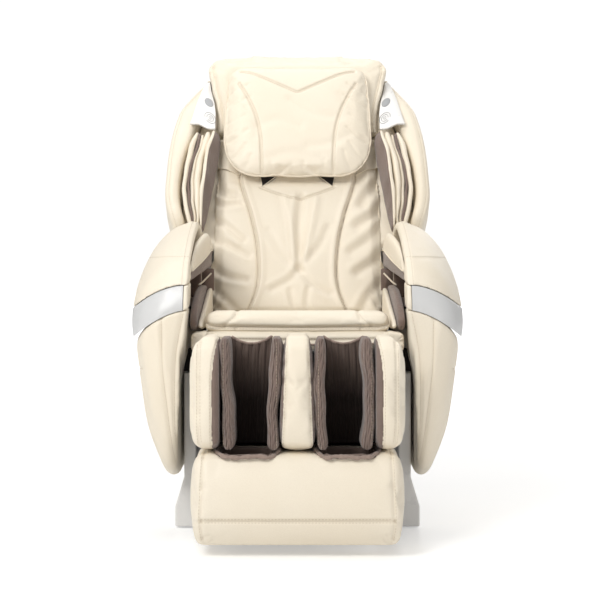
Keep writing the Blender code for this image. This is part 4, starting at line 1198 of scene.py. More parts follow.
# Leaves of a shoulder airbag, outermost first. edge: (height, outer x, inner x) of the rolled front edge;
# reach: how far the edge comes forward; face: x of the inner face at the rear, where it slants inward
LEAVES = {
    "outer": (
        dict(edge=[(0.294, 0.2990, 0.2900), (0.317, 0.3050, 0.2935), (0.370, 0.3155, 0.3030), (0.443, 0.3160, 0.3045),
                   (0.517, 0.3090, 0.2925), (0.576, 0.2942, 0.2810), (0.596, 0.2860, 0.2790)], reach=-0.191),
        dict(edge=[(0.294, 0.2895, 0.2850), (0.317, 0.2930, 0.2865), (0.370, 0.3025, 0.2960), (0.443, 0.3040, 0.2970),
                   (0.517, 0.2920, 0.2855), (0.576, 0.2805, 0.2745), (0.594, 0.2785, 0.2740)], reach=-0.186, cloth=True),
        dict(edge=[(0.294, 0.2845, 0.2780), (0.317, 0.2860, 0.2775), (0.370, 0.2955, 0.2850), (0.443, 0.2965, 0.2850),
                   (0.517, 0.2850, 0.2775), (0.576, 0.2740, 0.2655), (0.592, 0.2720, 0.2660)], reach=-0.180),
    ),
    "inner": (
        dict(edge=[(0.294, 0.2770, 0.2700), (0.317, 0.2770, 0.2690), (0.370, 0.2845, 0.2690), (0.443, 0.2845, 0.2660),
                   (0.517, 0.2770, 0.2590), (0.576, 0.2640, 0.2450), (0.597, 0.2580, 0.2460)], reach=-0.193),
        dict(edge=[(0.292, 0.2680, 0.2630), (0.317, 0.2680, 0.2610), (0.370, 0.2680, 0.2585), (0.443, 0.2640, 0.2490),
                   (0.517, 0.2570, 0.2440), (0.576, 0.2440, 0.2320), (0.598, 0.2400, 0.2330)], reach=-0.204,
             face=[(0.292, 0.2600), (0.317, 0.2530), (0.370, 0.2420), (0.443, 0.2310), (0.517, 0.2190), (0.576, 0.2170),
                   (0.598, 0.2200)]),
    ),
}
LEAF_REAR = -0.1325


def leaf(name, edge, reach, face=None, cloth=False):
    """One padded leaf: a rolled front edge that wavers, pinched at both ends."""
    outer, inner = [(s, x) for s, x, _ in edge], [(s, x) for s, _, x in edge]
    phase = reach * 900
    rings = []
    for s in np.linspace(edge[0][0], edge[-1][0], 90):
        t = (s - edge[0][0]) / (edge[-1][0] - edge[0][0])
        swell = max(0.0, math.sin(math.pi * (0.03 + 0.94 * t))) ** 0.42
        sway = 0.0011 * math.sin(t * 11 + phase) + 0.0006 * math.sin(t * 27 + phase)
        far, near = reading(outer, s) + sway, reading(inner, s) + sway
        half, x = (far - near) / 2, (far + near) / 2
        front = LEAF_REAR + (reach - LEAF_REAR) * (0.30 + 0.70 * swell) + 0.0014 * math.sin(t * 15 + phase)
        depth = min(half * 1.15, 0.010)
        section = [(x + half * math.cos(a), front + depth * (1 - math.sin(a))) for a in np.linspace(0, math.pi, 17)]
        rear_x = reading(face, s) if face else near + 0.0010
        for share in (0.15, 0.4, 0.7, 1.0):
            belly = (0.0030 if face else 0.0008) * math.sin(math.pi * share)
            belly += 0.0006 * math.sin(t * 33 + share * 6 + phase)
            section.append((near + (rear_x - near) * share - belly, front + depth + (LEAF_REAR - front - depth) * share))
        section.append((far - 0.0010, LEAF_REAR))
        section.append((far - 0.0005, (LEAF_REAR + front) / 2))
        rings.append(placed([(px, py, s) for px, py in section], BACK_PLACE))
    obj = subdivided(loft(name, rings))
    obj.data.materials.append(BROWN if cloth else CREAM)
    obj.data.materials.append(BROWN)
    if face:
        inverse = np.array(BACK_PLACE.inverted())
        centres = np.array([p.center[:] for p in obj.data.polygons]) @ inverse[:3, :3].T + inverse[:3, 3]
        ways = np.array([p.normal[:] for p in obj.data.polygons]) @ inverse[:3, :3].T
        middle = np.array([reading(outer, s) + reading(inner, s) for s in centres[:, 2]]) / 2
        brown = (ways[:, 0] < 0.35) & (centres[:, 0] < middle - 0.0035)
        obj.data.polygons.foreach_set("material_index", brown.astype(np.int32))
    return obj


def shoulder_airbags():
    for group, leaves in LEAVES.items():
        for k, shape in enumerate(leaves):
            right = leaf(f"shoulder_leaf_{group}_{k}_right", **shape)
            left = mirror_copy(right, right.name.replace("_right", "_left"))
            for obj, word in ((right, "right"), (left, "left")):
                obj.data.shade_smooth()
                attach(obj, "backrest")
                if k == 0:
                    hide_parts(f"shoulder_airbag_{group}_{word}")


shoulder_airbags()


# Front outline of the right speaker panel: (x, height)
PANEL_EDGE = [(0.2580, 0.822), (0.2510, 0.775), (0.2400, 0.720), (0.2345, 0.675), (0.2325, 0.601), (0.2450, 0.6015)]
PANEL_EDGE += [(0.2565, 0.6050), (0.2690, 0.6145), (0.2810, 0.6235), (0.3050, 0.6250), (0.2995, 0.660)]
PANEL_EDGE += [(0.2890, 0.735), (0.2730, 0.812), (0.2660, 0.822)]


def panel_face(s):
    return -0.1315 + 0.45 * (s - 0.70)


def on_panel(points, lift=0.0):
    """(x, height) points on the right panel's face."""
    return placed([(x, panel_face(s) - lift, s) for x, s in points], BACK_PLACE)


def speaker_panels():
    """White panels beside the head: a leaning lens above a grille of nested arcs."""
    edge = np.array(PANEL_EDGE)
    centre = edge.mean(axis=0)
    rings = []
    for inset, depth in ((0.0, 0.0085), (0.0, 0.0012), (0.010, 0.0003), (0.03, 0.0), (0.5, 0.0), (0.98, 0.0)):
        rings.append(on_panel(centre + (edge - centre) * (1 - inset), -depth))
    both(loft("speaker_panel_cover_right", rings), WHITE, "backrest", "white_plastic", "speaker_panel")
    lean = np.array(((0.0085, -0.0015), (0.0058, 0.0165)))  # the ovals' short and long half axes
    turn = np.arange(33) * math.pi / 16
    arcs = []
    for share in (0.35, 0.95, 1.55):
        a = np.linspace(0.10, 1.90, 40)[:, None] * math.pi
        oval = np.array((0.2490, 0.6500)) + share * (np.cos(a) * lean[0] + np.sin(a) * lean[1])
        arcs.append(tube("arc", on_panel(oval, 0.0004), 0.0007, sides=6))
    both(joined("speaker_grille_right", arcs), GREY, "backrest", "black_plastic")
    rings = []
    for share, lift in ((1.0, -0.0004), (0.96, 0.0009), (0.75, 0.0016), (0.4, 0.0020), (0.05, 0.0022)):
        oval = np.array((0.2560, 0.7230)) + 1.3 * share * (np.outer(np.cos(turn[:-1]), lean[0]) + np.outer(np.sin(turn[:-1]), lean[1]))
        rings.append(on_panel(oval, lift))
    both(loft("panel_lens_right", rings), LENS, "backrest", "black_plastic")


speaker_panels()




# ---- seat -----------------------------------------------------------------------------------
def rounded_slab(name, outline, low_x, high_x, corner, steps=7, columns=24):
    """A side view of (y, z) points drawn across x, with both ends rounded over."""
    outline = np.array(outline, float)
    centre = (outline.max(axis=0) + outline.min(axis=0)) / 2
    half = (outline.max(axis=0) - outline.min(axis=0)) / 2
    rings = []
    ends = [(low_x + corner * (1 - math.cos(a)), corner * (1 - math.sin(a))) for a in np.linspace(0, math.pi / 2, steps)]
    places = ends + [(x, 0.0) for x in np.linspace(low_x + corner, high_x - corner, columns)[1:-1]]
    places += [(low_x + high_x - x, inset) for x, inset in reversed(ends)]
    for x, inset in places:
        ring = centre + (outline - centre) * (1 - inset / np.maximum(half, 1e-6)).clip(0.05)
        rings.append(np.column_stack((np.full(len(ring), x), ring)))
    return loft(name, rings)


def seat_cushion():
    side = [(-0.371, 0.492), (-0.373, 0.512), (-0.366, 0.527), (-0.345, 0.533), (-0.29, 0.527), (-0.20, 0.517)]
    side += [(-0.05, 0.504), (0.026, 0.494), (0.026, 0.458), (-0.10, 0.462), (-0.20, 0.470), (-0.34, 0.4885)]
    cushion = rounded_slab("seat_cushion_pad", spline(side, 90, closed=True), -0.223, 0.223, 0.016)
    remeshed(cushion, 0.006, 4)

    def held(points):
        return (points[:, 2] < 0.4905 + 0.02 * (points[:, 1] < -0.35) * 0) | (points[:, 1] > 0.02)

    inflated(cushion, 4.0, 0.009, held)
    subdivided(cushion)
    roll = [(-0.222, -0.4, 0.515), (-0.205, -0.4, 0.5035), (-0.12, -0.4, 0.501), (0.0, -0.4, 0.4995)]
    roll += [(0.12, -0.4, 0.501), (0.205, -0.4, 0.5035), (0.222, -0.4, 0.515)]
    roll = spline(roll, 60)
    pressed(cushion, roll, 0.0045, 0.0090, FRONT)
    back_seam = spline([(-0.215, -0.292, 0.6), (0.0, -0.286, 0.6), (0.215, -0.292, 0.6)], 40)
    pressed(cushion, back_seam, 0.0055, 0.0045, (0, 0, 1))
    darts = []
    for sign in (-1, 1):
        dart = spline([(sign * 0.150, -0.4, 0.531), (sign * 0.158, -0.4, 0.520), (sign * 0.176, -0.4, 0.5045)], 12)
        pressed(cushion, dart, 0.005, 0.0035, FRONT)
        darts.append(dart)
        top = spline([(sign * 0.150, -0.366, 0.6), (sign * 0.146, -0.330, 0.6), (sign * 0.150, -0.290, 0.6)], 14)
        pressed(cushion, top, 0.005, 0.003, (0, 0, 1))
        for y0, y1, deep in ((-0.20, -0.185, 0.003), (-0.12, -0.135, 0.0035), (-0.05, -0.04, 0.0025)):
            fold = [(sign * 0.221, y0, 0.6), (sign * 0.185, (y0 + y1) / 2, 0.6), (sign * 0.140, y1, 0.6)]
            pressed(cushion, spline(fold, 12), 0.007, deep, (0, 0, 1))
    finished(cushion, CREAM, "seat", "cream_leather", "seat_cushion")
    sewn_thread("seat_thread_roll", cushion, roll, FRONT, "seat", (-0.0045, 0.0045))
    sewn_thread("seat_thread_top", cushion, back_seam, (0, 0, 1), "seat", (-0.0045, 0.0045))
    for sign, word in SIDES:
        sewn_thread(f"seat_thread_dart_{word}", cushion, darts[(sign + 1) // 2], FRONT, "seat")


def seat_skirt():
    side = [(-0.378, 0.4515), (-0.387, 0.462), (-0.386, 0.476), (-0.376, 0.4865), (-0.34, 0.483), (-0.20, 0.4635)]
    side += [(0.015, 0.4505), (0.018, 0.436), (0.01, 0.4205), (-0.20, 0.4195), (-0.325, 0.4205), (-0.338, 0.448)]
    skirt = rounded_slab("seat_skirt_pad", spline(side, 90, closed=True), -0.249, 0.249, 0.010)
    for sign in (-1, 1):
        low, high = sorted((sign * 0.189, sign * 0.30))
        boolean(skirt, box_tool((low, -0.44, 0.39), (high, 0.10, 0.4498)))
    remeshed(skirt, 0.0055, 4)

    def held(points):
        return (points[:, 2] < 0.4505) | (points[:, 1] > -0.30)

    inflated(skirt, 4.0, 0.006, held)
    subdivided(skirt)
    line = spline([(-0.246, -0.4, 0.4745), (-0.12, -0.4, 0.4705), (0.0, -0.4, 0.4695), (0.12, -0.4, 0.4705), (0.246, -0.4, 0.4745)], 60)
    pressed(skirt, line, 0.0045, 0.0045, FRONT)
    for sign in (-1, 1):
        lobe = spline([(sign * 0.205, -0.4, 0.486), (sign * 0.199, -0.4, 0.470), (sign * 0.203, -0.4, 0.452)], 12)
        pressed(skirt, lobe, 0.005, 0.004, FRONT)
    finished(skirt, CREAM, "seat", "cream_leather", "seat_skirt")
    sewn_thread("seat_skirt_thread", skirt, line + (0, 0, 0.004), FRONT, "seat")
    cord = spline([(-0.240, -0.4, 0.4632), (0.0, -0.4, 0.4590), (0.240, -0.4, 0.4632)], 60)
    corded("seat_skirt_piping", skirt, cord, FRONT, "seat", 0.0022, BROWN_TRIM)


def skirt_lobes():
    """Gathered leather at both ends of the skirt, up to the arms."""
    rings = []
    for y, inset in ((-0.3915, 0.0075), (-0.3900, 0.0030), (-0.3860, 0.0008), (-0.370, 0.0), (-0.335, 0.0), (-0.300, 0.0)):
        ring = []
        for a in np.linspace(0, 2 * math.pi, 64, endpoint=False):
            wide, high = 0.0210 - inset, 0.0225 - inset
            across = np.sign(math.cos(a)) * abs(math.cos(a)) ** 0.45
            up = np.sign(math.sin(a)) * abs(math.sin(a)) ** 0.45
            crease = 0.0011 * math.sin(up * 9 + across * 1.5) + 0.0006 * math.sin(up * 19 + 1)
            ring.append((0.2345 + wide * across, y + crease, 0.4675 + high * up - 0.003 * across))
        rings.append(ring)
    lobe = subdivided(loft("skirt_lobe_right", rings))
    fold = spline([(0.2140, -0.5, 0.4700), (0.2350, -0.5, 0.4660), (0.2540, -0.5, 0.4690)], 20)
    pressed(lobe, fold, 0.0040, 0.0030, FRONT)
    both(lobe, CREAM, "seat", "cream_leather")


skirt_lobes()


def seat_apron():
    """The leather that closes the gap between the seat cushion and the backrest."""
    fall = spline([(0.012, 0.4735), (0.035, 0.4700), (0.060, 0.4600), (0.085, 0.4530), (0.104, 0.4520)], 24)
    rows = []
    for y, z in fall:
        rows.append([(x, y, z + 0.0012 * math.sin(x * 70 + y * 60)) for x in np.linspace(-0.188, 0.188, 90)])
    finished(sheet_between("seat_apron", rows, 0.0022), CREAM, "seat", "cream_leather")


seat_apron()


# The forearm flap along y: nearest x, height of its leather edge, top and bottom
FLAP_NEAR = [(-0.332, 0.2560), (-0.26, 0.2510), (-0.17, 0.2410), (-0.08, 0.2320), (0.075, 0.2290)]
FLAP_HEM = [(-0.332, 0.6340), (-0.26, 0.6440), (-0.17, 0.6600), (-0.08, 0.6780), (0.0, 0.690), (0.075, 0.690)]
FLAP_TOP = [(-0.332, 0.6400), (-0.28, 0.6680), (-0.19, 0.7020), (-0.08, 0.7290), (0.0, 0.7330), (0.075, 0.700)]
FLAP_LOW = [(-0.332, 0.6120), (-0.26, 0.6160), (-0.17, 0.6240), (-0.08, 0.6340), (0.0, 0.6420), (0.075, 0.640)]


def forearm_flap(word, sign):
    """The bag that hangs from the hood over the forearm: leather above its hem, cloth below."""
    rings = []
    for y in np.linspace(-0.330, 0.073, 60):
        near, hem = reading(FLAP_NEAR, y), reading(FLAP_HEM, y)
        top, low = reading(FLAP_TOP, y), reading(FLAP_LOW, y)
        far = min(near + 0.020, 0.2615)
        wave = 0.0012 * math.sin(y * 55)
        section = [(far, low + 0.004), (far - 0.004, low), (near + 0.006, low + 0.003), (near + 0.002 + wave, low + 0.012)]
        section += [(near + 0.0035, (low + hem) / 2), (near + 0.0015, hem - 0.004), (near - 0.0005, hem), (near, hem + 0.006)]
        section += [(near + 0.0005, (hem + top) / 2), (near + 0.0025, top - 0.006), (near + 0.008, top), (far - 0.003, top)]
        section += [(far, top - 0.004), (far, (top + low) / 2)]
        rings.append([(sign * x, y, z) for x, z in section])
    flap = subdivided(loft(f"forearm_flap_{word}", rings))
    finished(flap, CREAM, "seat", "taupe_fabric", f"forearm_airbag_{word}")
    flap.data.materials.append(BROWN)
    centres = np.array([p.center[:] for p in flap.data.polygons])
    brown = centres[:, 2] < np.array([reading(FLAP_HEM, y) for y in centres[:, 1]])
    flap.data.polygons.foreach_set("material_index", brown.astype(np.int32))
    hem = [(sign * (reading(FLAP_NEAR, y) - 0.0008), y, reading(FLAP_HEM, y) + 0.0005) for y in np.linspace(-0.325, 0.070, 50)]
    finished(tube(f"forearm_flap_hem_{word}", hem, 0.0016), PIPING, "seat", "cream_leather")


def hip_bag(word, sign):
    """Brown bag between the seat and the arm."""
    side = [(-0.345, 0.4925), (-0.343, 0.545), (-0.20, 0.588), (0.0, 0.5985), (0.036, 0.585), (0.038, 0.4925)]
    low, high = sorted((sign * 0.2405, sign * 0.2590))
    pad = rounded_slab(f"hip_airbag_{word}", spline(side, 90, closed=True), low, high, 0.005, 5, 8)
    remeshed(pad, 0.0048, 3)
    inflated(pad, 4.0, 0.004, lambda p: (p[:, 0] * sign > 0.256) | (p[:, 0] * sign < 0.2425))
    subdivided(pad)
    rim = [(sign * 0.2, -0.330, 0.500), (sign * 0.2, -0.325, 0.535), (sign * 0.2, -0.20, 0.575)]
    rim += [(sign * 0.2, -0.02, 0.586), (sign * 0.2, 0.025, 0.570)]
    pressed(pad, spline(rim, 50), 0.004, 0.0020, (-sign, 0, 0))
    finished(pad, BROWN, "seat", "taupe_fabric", f"hip_pad_{word}")


def seat_lobe(word, sign):
    """The seat cover's side, which rises from the front corner towards the backrest."""
    side = [(-0.352, 0.4960), (-0.356, 0.512), (-0.30, 0.526), (-0.20, 0.547), (-0.08, 0.575), (0.010, 0.590)]
    side += [(0.030, 0.580), (0.033, 0.500), (-0.10, 0.494)]
    low, high = sorted((sign * 0.2265, sign * 0.2390))
    lobe = rounded_slab(f"seat_side_lobe_{word}", spline(side, 100, closed=True), low, high, 0.0045, 5, 6)
    remeshed(lobe, 0.0045, 3)
    subdivided(lobe)
    for y, z, dy, dz in ((-0.24, 0.500, 0.02, 0.030), (-0.13, 0.505, 0.03, 0.045), (-0.03, 0.510, 0.02, 0.060)):
        fold = [(sign * 0.2, y, z), (sign * 0.2, y + dy * 0.4, z + dz * 0.5), (sign * 0.2, y + dy, z + dz)]
        pressed(lobe, spline(fold, 12), 0.006, 0.002, (-sign, 0, 0))
    finished(lobe, CREAM, "seat", "cream_leather")


def forearm_rest(word):
    rest = copy_of(f"forearm_rest_{word}", f"forearm_pad_{word}")
    remeshed(rest, 0.004, 5)
    inflated(rest, 3.0, 0.003, lambda p: p[:, 2] < 0.549)
    subdivided(rest)
    finished(rest, BROWN, "seat", "taupe_fabric", f"forearm_pad_{word}")


def side_pads():
    for sign, word in SIDES:
        hip_bag(word, sign)
        seat_lobe(word, sign)
        forearm_flap(word, sign)
        forearm_rest(word)


seat_cushion()
seat_skirt()
side_pads()


def side_closures():
    """Cloth walls between the seat and the arms, so that nothing shows through; the near-black front and middle walls
    are painted shade.
    """
    walls = (
        ("upper", [(0.2240, 0.583), (0.2240, 0.642), (0.2565, 0.642), (0.2575, 0.583)], 0.0440, BROWN),
        # front and middle: near-black sheets of painted shade that fill the dark gaps
        ("front", [(0.2370, 0.3880), (0.2370, 0.4460), (0.2700, 0.4460), (0.2820, 0.3880)], -0.2650, BLACK_MESH_AND_SHADE),
        ("middle", [(0.2440, 0.389), (0.2440, 0.589), (0.2580, 0.589), (0.2645, 0.49), (0.2745, 0.44), (0.283, 0.389)], 0.0500, BLACK_MESH_AND_SHADE),
    )
    for part, outline, near, material in walls:
        outline = resampled(np.array([(x, 0, z) for x, z in outline + outline[:1]]), 0.006)[:-1]
        centre = outline.mean(axis=0)
        for sign, word in SIDES:
            rings = []
            for y, share in ((near, 0.97), (near + 0.0012, 1.0), (near + 0.0035, 1.0), (near + 0.0047, 0.97)):
                ring = centre + (outline - centre) * share
                rings.append(np.column_stack((sign * ring[:, 0], np.full(len(ring), y), ring[:, 2])))
            slot = "black_plastic" if material is BLACK_MESH_AND_SHADE else "taupe_fabric"
            finished(loft(f"seat_{part}_closure_{word}", rings), material, "seat", slot)
    for sign, word in SIDES:
        strap = [(0.2600, -0.03, 0.5990), (0.2520, 0.00, 0.6060), (0.2420, 0.03, 0.6180), (0.2320, 0.045, 0.6290)]
        cord = spline([(sign * x, y, z) for x, y, z in strap], 30)
        finished(tube(f"seat_side_strap_{word}", cord, 0.0024), PIPING, "seat", "cream_leather")


side_closures()


# ---- calf unit ------------------------------------------------------------------------------
CALF_BODY = "leg_rest"


def rounded_corners(obj, outer, low, high, top_radius, low_radius):
    """Pulls the outer corners of a pad, seen from the front, onto round arcs."""
    co = coordinates(obj)
    for edge, radius, way in ((high, top_radius, 1), (low, low_radius, -1)):
        dx, dz = co[:, 0] - (outer - radius), (co[:, 2] - (edge - way * radius)) * way
        far = np.hypot(dx, dz)
        turn = (dx > 0) & (dz > 0) & (far > radius)
        pull = np.where(turn, radius / np.maximum(far, 1e-6), 1.0)
        co[:, 0] = np.where(turn, outer - radius + dx * pull, co[:, 0])
        co[:, 2] = np.where(turn, edge - way * radius + way * dz * pull, co[:, 2])
    set_coordinates(obj, co)


def cloth_edge(z):
    """Where the outer calf pad's leather gives way to cloth."""
    return 0.1896 - 0.0137 * np.clip((z - 0.39) / 0.098, 0, 1) ** 2


def calf_pads():
    outer = copy_of("calf_pad_cover_right", "calf_pad_right")
    remeshed(outer, 0.005, 6)

    def held(points):
        return (points[:, 1] > -0.497) | (points[:, 0] < 0.1752)

    inflated(outer, 4.0, 0.007, held)
    rounded_corners(outer, 0.236, 0.2350, 0.4935, 0.048, 0.038)
    subdivided(outer)
    seam = spline([(0.2185, -0.7, 0.478), (0.2195, -0.7, 0.43), (0.2195, -0.7, 0.30), (0.2170, -0.7, 0.252)], 50)
    pressed(outer, seam, 0.0040, 0.0028, FRONT)
    inner = np.array([(cloth_edge(z), -0.7, z) for z in np.linspace(0.488, 0.243, 50)])
    pressed(outer, inner, 0.0032, 0.0034, FRONT)
    over = spline([(0.2190, -0.63, 0.6), (0.2190, -0.56, 0.6), (0.2190, -0.51, 0.6)], 30)
    pressed(outer, over, 0.0040, 0.0025, (0, 0, 1))
    threads = []
    for line, offset in ((seam, 0.0042), (seam, -0.0042), (inner, 0.0046)):
        threads.append(stitches("thread", laid_on(outer, line + (offset, 0, 0), FRONT, 0.0002)))
    both(outer, CREAM, CALF_BODY, "cream_leather", "calf_pad")
    both(joined("calf_pad_thread_right", threads), THREAD, CALF_BODY, "cream_leather")
    for word, sign in (("right", 1), ("left", -1)):
        side_cloth(bpy.data.objects[f"calf_pad_cover_{word}"], lambda c, sign=sign: c[:, 0] * sign < cloth_edge(c[:, 2]))

    middle = copy_of("calf_pad_cover_middle", "calf_pad_middle")
    remeshed(middle, 0.0048, 5)
    inflated(middle, 4.0, 0.006, lambda p: p[:, 1] > -0.497)
    subdivided(middle)
    finished(middle, CREAM, CALF_BODY, "cream_leather", "calf_pad_middle")
    edge_at = lambda z: 0.0255 + (0.486 - z) * 0.0385
    for sign, word in SIDES:
        line = np.array([(sign * (edge_at(z) - 0.0035), -0.7, z) for z in np.linspace(0.470, 0.246, 50)])
        pressed(middle, line, 0.0032, 0.0020, FRONT)
        sewn_thread(f"calf_middle_thread_{word}", middle, line, FRONT, CALF_BODY)
    side_cloth(middle, lambda c: np.abs(c[:, 0]) > edge_at(c[:, 2]) + 0.0002)


def side_cloth(obj, chosen):
    """Brown cloth on the faces of a leather pad that the test picks."""
    obj.data.materials.clear()
    obj.data.materials.append(CREAM)
    obj.data.materials.append(BROWN)
    centres = np.array([p.center[:] for p in obj.data.polygons])
    obj.data.polygons.foreach_set("material_index", chosen(centres).astype(np.int32))
    obj.data.update()


def sleeve(name, middle_x, width, lean, phase):
    """A soft airbag sleeve down one wall of a calf well: pleated, with a wavering front edge."""
    rings = []
    count = 150
    for k, z in enumerate(np.linspace(0.2385, 0.4855, 80)):
        t = k / 79
        swell = math.sin(math.pi * min(1.0, 0.10 + t * 0.82)) ** 0.30
        end = max(0.0, (t - 0.90) / 0.10, (0.05 - t) / 0.05)
        half = width / 2 * (0.80 + 0.20 * swell + 0.10 * math.sin(t * 7 + phase * 5)) * math.sqrt(1 - 0.72 * end * end)
        shift = lean * (0.0012 + 0.0046 * math.sin(2 * math.pi * (t * 0.80 + phase))) + 0.0012 * math.sin(t * 17 + phase * 9)
        front = -0.634 + 0.012 * (1 - swell) + 0.0026 * math.sin(t * 11 + phase * 7) + 0.030 * max(0.0, t - 0.88)
        rear, corner = -0.4935, min(half, 0.011)
        ring = []
        for i in range(count):
            a = 2 * math.pi * i / count
            x, y = math.cos(a), math.sin(a)
            power = 0.55
            px = middle_x + shift + half * math.copysign(abs(x) ** power, x)
            py = (front + rear) / 2 + (rear - front) / 2 * math.copysign(abs(y) ** 0.35, y)
            pleat = 0.0011 * math.sin((px - middle_x - shift) * 1250 + 2.2 * math.sin(t * 3.1 + phase))
            if y < -0.05:
                py += pleat * 1.5
            px += 0.0009 * math.sin(py * 620 + t * 3) * (1 if abs(x) > 0.5 else 0)
            ring.append((px, py, z))
        rings.append(np.array(ring))
    obj = loft(name, rings)
    co = coordinates(obj)
    gather = 0.0012 * np.sin(co[:, 2] * 230 + 3 * np.sin(co[:, 0] * 300)) * np.exp(-((co[:, 1] + 0.632) / 0.018) ** 2)
    co[:, 1] += gather
    set_coordinates(obj, co)
    return obj


def calf_wells():
    for side, word in SIDES:
        for which, middle, width, phase in (("outer", 0.1590, 0.0255, 0.10 + 0.3 * (side > 0)), ("inner", 0.0525, 0.0265, 0.55 + 0.25 * (side > 0))):
            piece = sleeve(f"calf_sleeve_{which}_{word}", side * middle, width, -side, phase)
            finished(piece, BROWN, CALF_BODY, "taupe_fabric", f"calf_airbag_{which}_{word}")
            binding = []
            for z in np.linspace(0.242, 0.478, 50):
                binding.append((side * middle + (0.006 if which == "outer" else -0.006) * side, -0.7, z))
            sewn_thread(f"calf_sleeve_thread_{which}_{word}", piece, np.array(binding), FRONT, CALF_BODY)
        rows = []
        for z in np.linspace(0.2395, 0.4845, 70):
            row = []
            high = (z - 0.2395) / 0.245
            for x in np.linspace(0.0590, 0.1530, 70):
                t = min(1.0, abs(x - 0.106) / 0.0450)
                sag = 0.016 * (1 - t * t) * high**4
                fold = 0.0022 * math.sin(x * 330 + 2 * math.sin(z * 26) + side) * (0.25 + 0.75 * high)
                fold += 0.0009 * math.sin(x * 790 + z * 30)
                row.append((side * x, -0.4985 - 0.006 * high**3 + fold, z - sag))
            rows.append(row)
        # the lining's material darkens it to near black low in the well: painted shade
        lining = sheet_between(f"calf_lining_{word}", rows, 0.0024)
        finished(lining, SHADED_WELL_LINING, CALF_BODY, "black_plastic")
        top = tube(f"calf_lining_binding_{word}", [rows[-1][i] for i in range(0, 70, 2)], 0.0030)
        finished(top, BROWN_TRIM, CALF_BODY, "taupe_fabric")


def well_slit_shade_sheet():
    """Near-black cloth that closes the slit between the calf housing and the foot unit: a sheet of painted shade."""
    rows = []
    for z in np.linspace(0.2000, 0.2380, 8):
        rows.append([(x, -0.4640 + 0.0003 * math.sin(x * 220), z) for x in np.linspace(-0.224, 0.224, 120)])
    finished(sheet_between("calf_unit_slit_shade_sheet", rows, 0.0009), BLACK_MESH_AND_SHADE, CALF_BODY, "black_plastic")


calf_pads()
calf_wells()
well_slit_shade_sheet()


# ---- foot unit ------------------------------------------------------------------------------
WELL_IN, WELL_OUT, WELL_FRONT, WELL_REAR, WELL_FLOOR = 0.046, 0.178, -0.632, -0.492, 0.078


def well_tool(side, extra=0.0):
    low, high = sorted((side * (WELL_IN - extra), side * (WELL_OUT + extra)))
    tool = box_tool((low, WELL_FRONT - extra, WELL_FLOOR - 0.0005), (high, WELL_REAR + extra, 0.30))
    soften = tool.modifiers.new("corner", "BEVEL")
    soften.width, soften.segments = 0.020, 5
    soften.limit_method = "ANGLE"
    return applied(tool)


def foot_boot():
    side = [(-0.466, 0.060), (-0.4655, 0.14), (-0.466, 0.222), (-0.50, 0.2295), (-0.60, 0.2295), (-0.632, 0.223)]
    side += [(-0.650, 0.195), (-0.660, 0.150), (-0.665, 0.108), (-0.664, 0.086), (-0.648, 0.050), (-0.628, 0.027)]
    side += [(-0.58, 0.0230), (-0.49, 0.0245)]
    boot = rounded_slab("foot_boot_cover", spline(side, 120, closed=True), -0.232, 0.232, 0.022)
    for sign in (-1, 1):
        boolean(boot, well_tool(sign))
    remeshed(boot, 0.0055, 6)

    def held(points):
        x = np.abs(points[:, 0])
        well = (x > WELL_IN - 0.006) & (x < WELL_OUT + 0.006) & (points[:, 1] > WELL_FRONT - 0.006) & (points[:, 2] > 0.06)
        return well | (points[:, 1] > -0.470) | (points[:, 2] < 0.030)

    inflated(boot, 4.0, 0.007, held)
    subdivided(boot)
    level = spline([(-0.213, -0.8, 0.0855), (-0.1, -0.8, 0.0850), (0.1, -0.8, 0.0850), (0.213, -0.8, 0.0855)], 60)
    pressed(boot, level, 0.0042, 0.0045, FRONT)
    threads = []
    for offset in (-0.0042, 0.0042):
        threads.append(stitches("thread", laid_on(boot, level + (0, 0, offset), FRONT, 0.0002)))
    for sign in (-1, 1):
        seam = spline([(sign * 0.2085, -0.8, 0.222), (sign * 0.2110, -0.8, 0.16), (sign * 0.2130, -0.8, 0.08), (sign * 0.2085, -0.8, 0.034)], 60)
        pressed(boot, seam, 0.0042, 0.0032, FRONT)
        threads.append(stitches("thread", laid_on(boot, seam + (sign * 0.0042, 0, 0), FRONT, 0.0002)))
        over = spline([(sign * 0.2085, -0.628, 0.4), (sign * 0.2085, -0.56, 0.4), (sign * 0.2085, -0.48, 0.4)], 30)
        pressed(boot, over, 0.0042, 0.0030, (0, 0, 1))
        threads.append(stitches("thread", laid_on(boot, over, (0, 0, 1), 0.0002)))
        for x0, z0, x1, z1 in ((0.226, 0.040, 0.196, 0.052), (0.214, 0.028, 0.190, 0.040), (0.230, 0.085, 0.217, 0.082)):
            pressed(boot, spline([(sign * x0, -0.8, z0), (sign * (x0 + x1) / 2, -0.8, (z0 + z1) / 2 - 0.002), (sign * x1, -0.8, z1)], 10), 0.004, 0.0022, FRONT)
    finished(boot, CREAM, "foot_unit", "cream_leather", "foot_shell")
    finished(joined("foot_boot_thread", threads), THREAD, "foot_unit", "cream_leather")


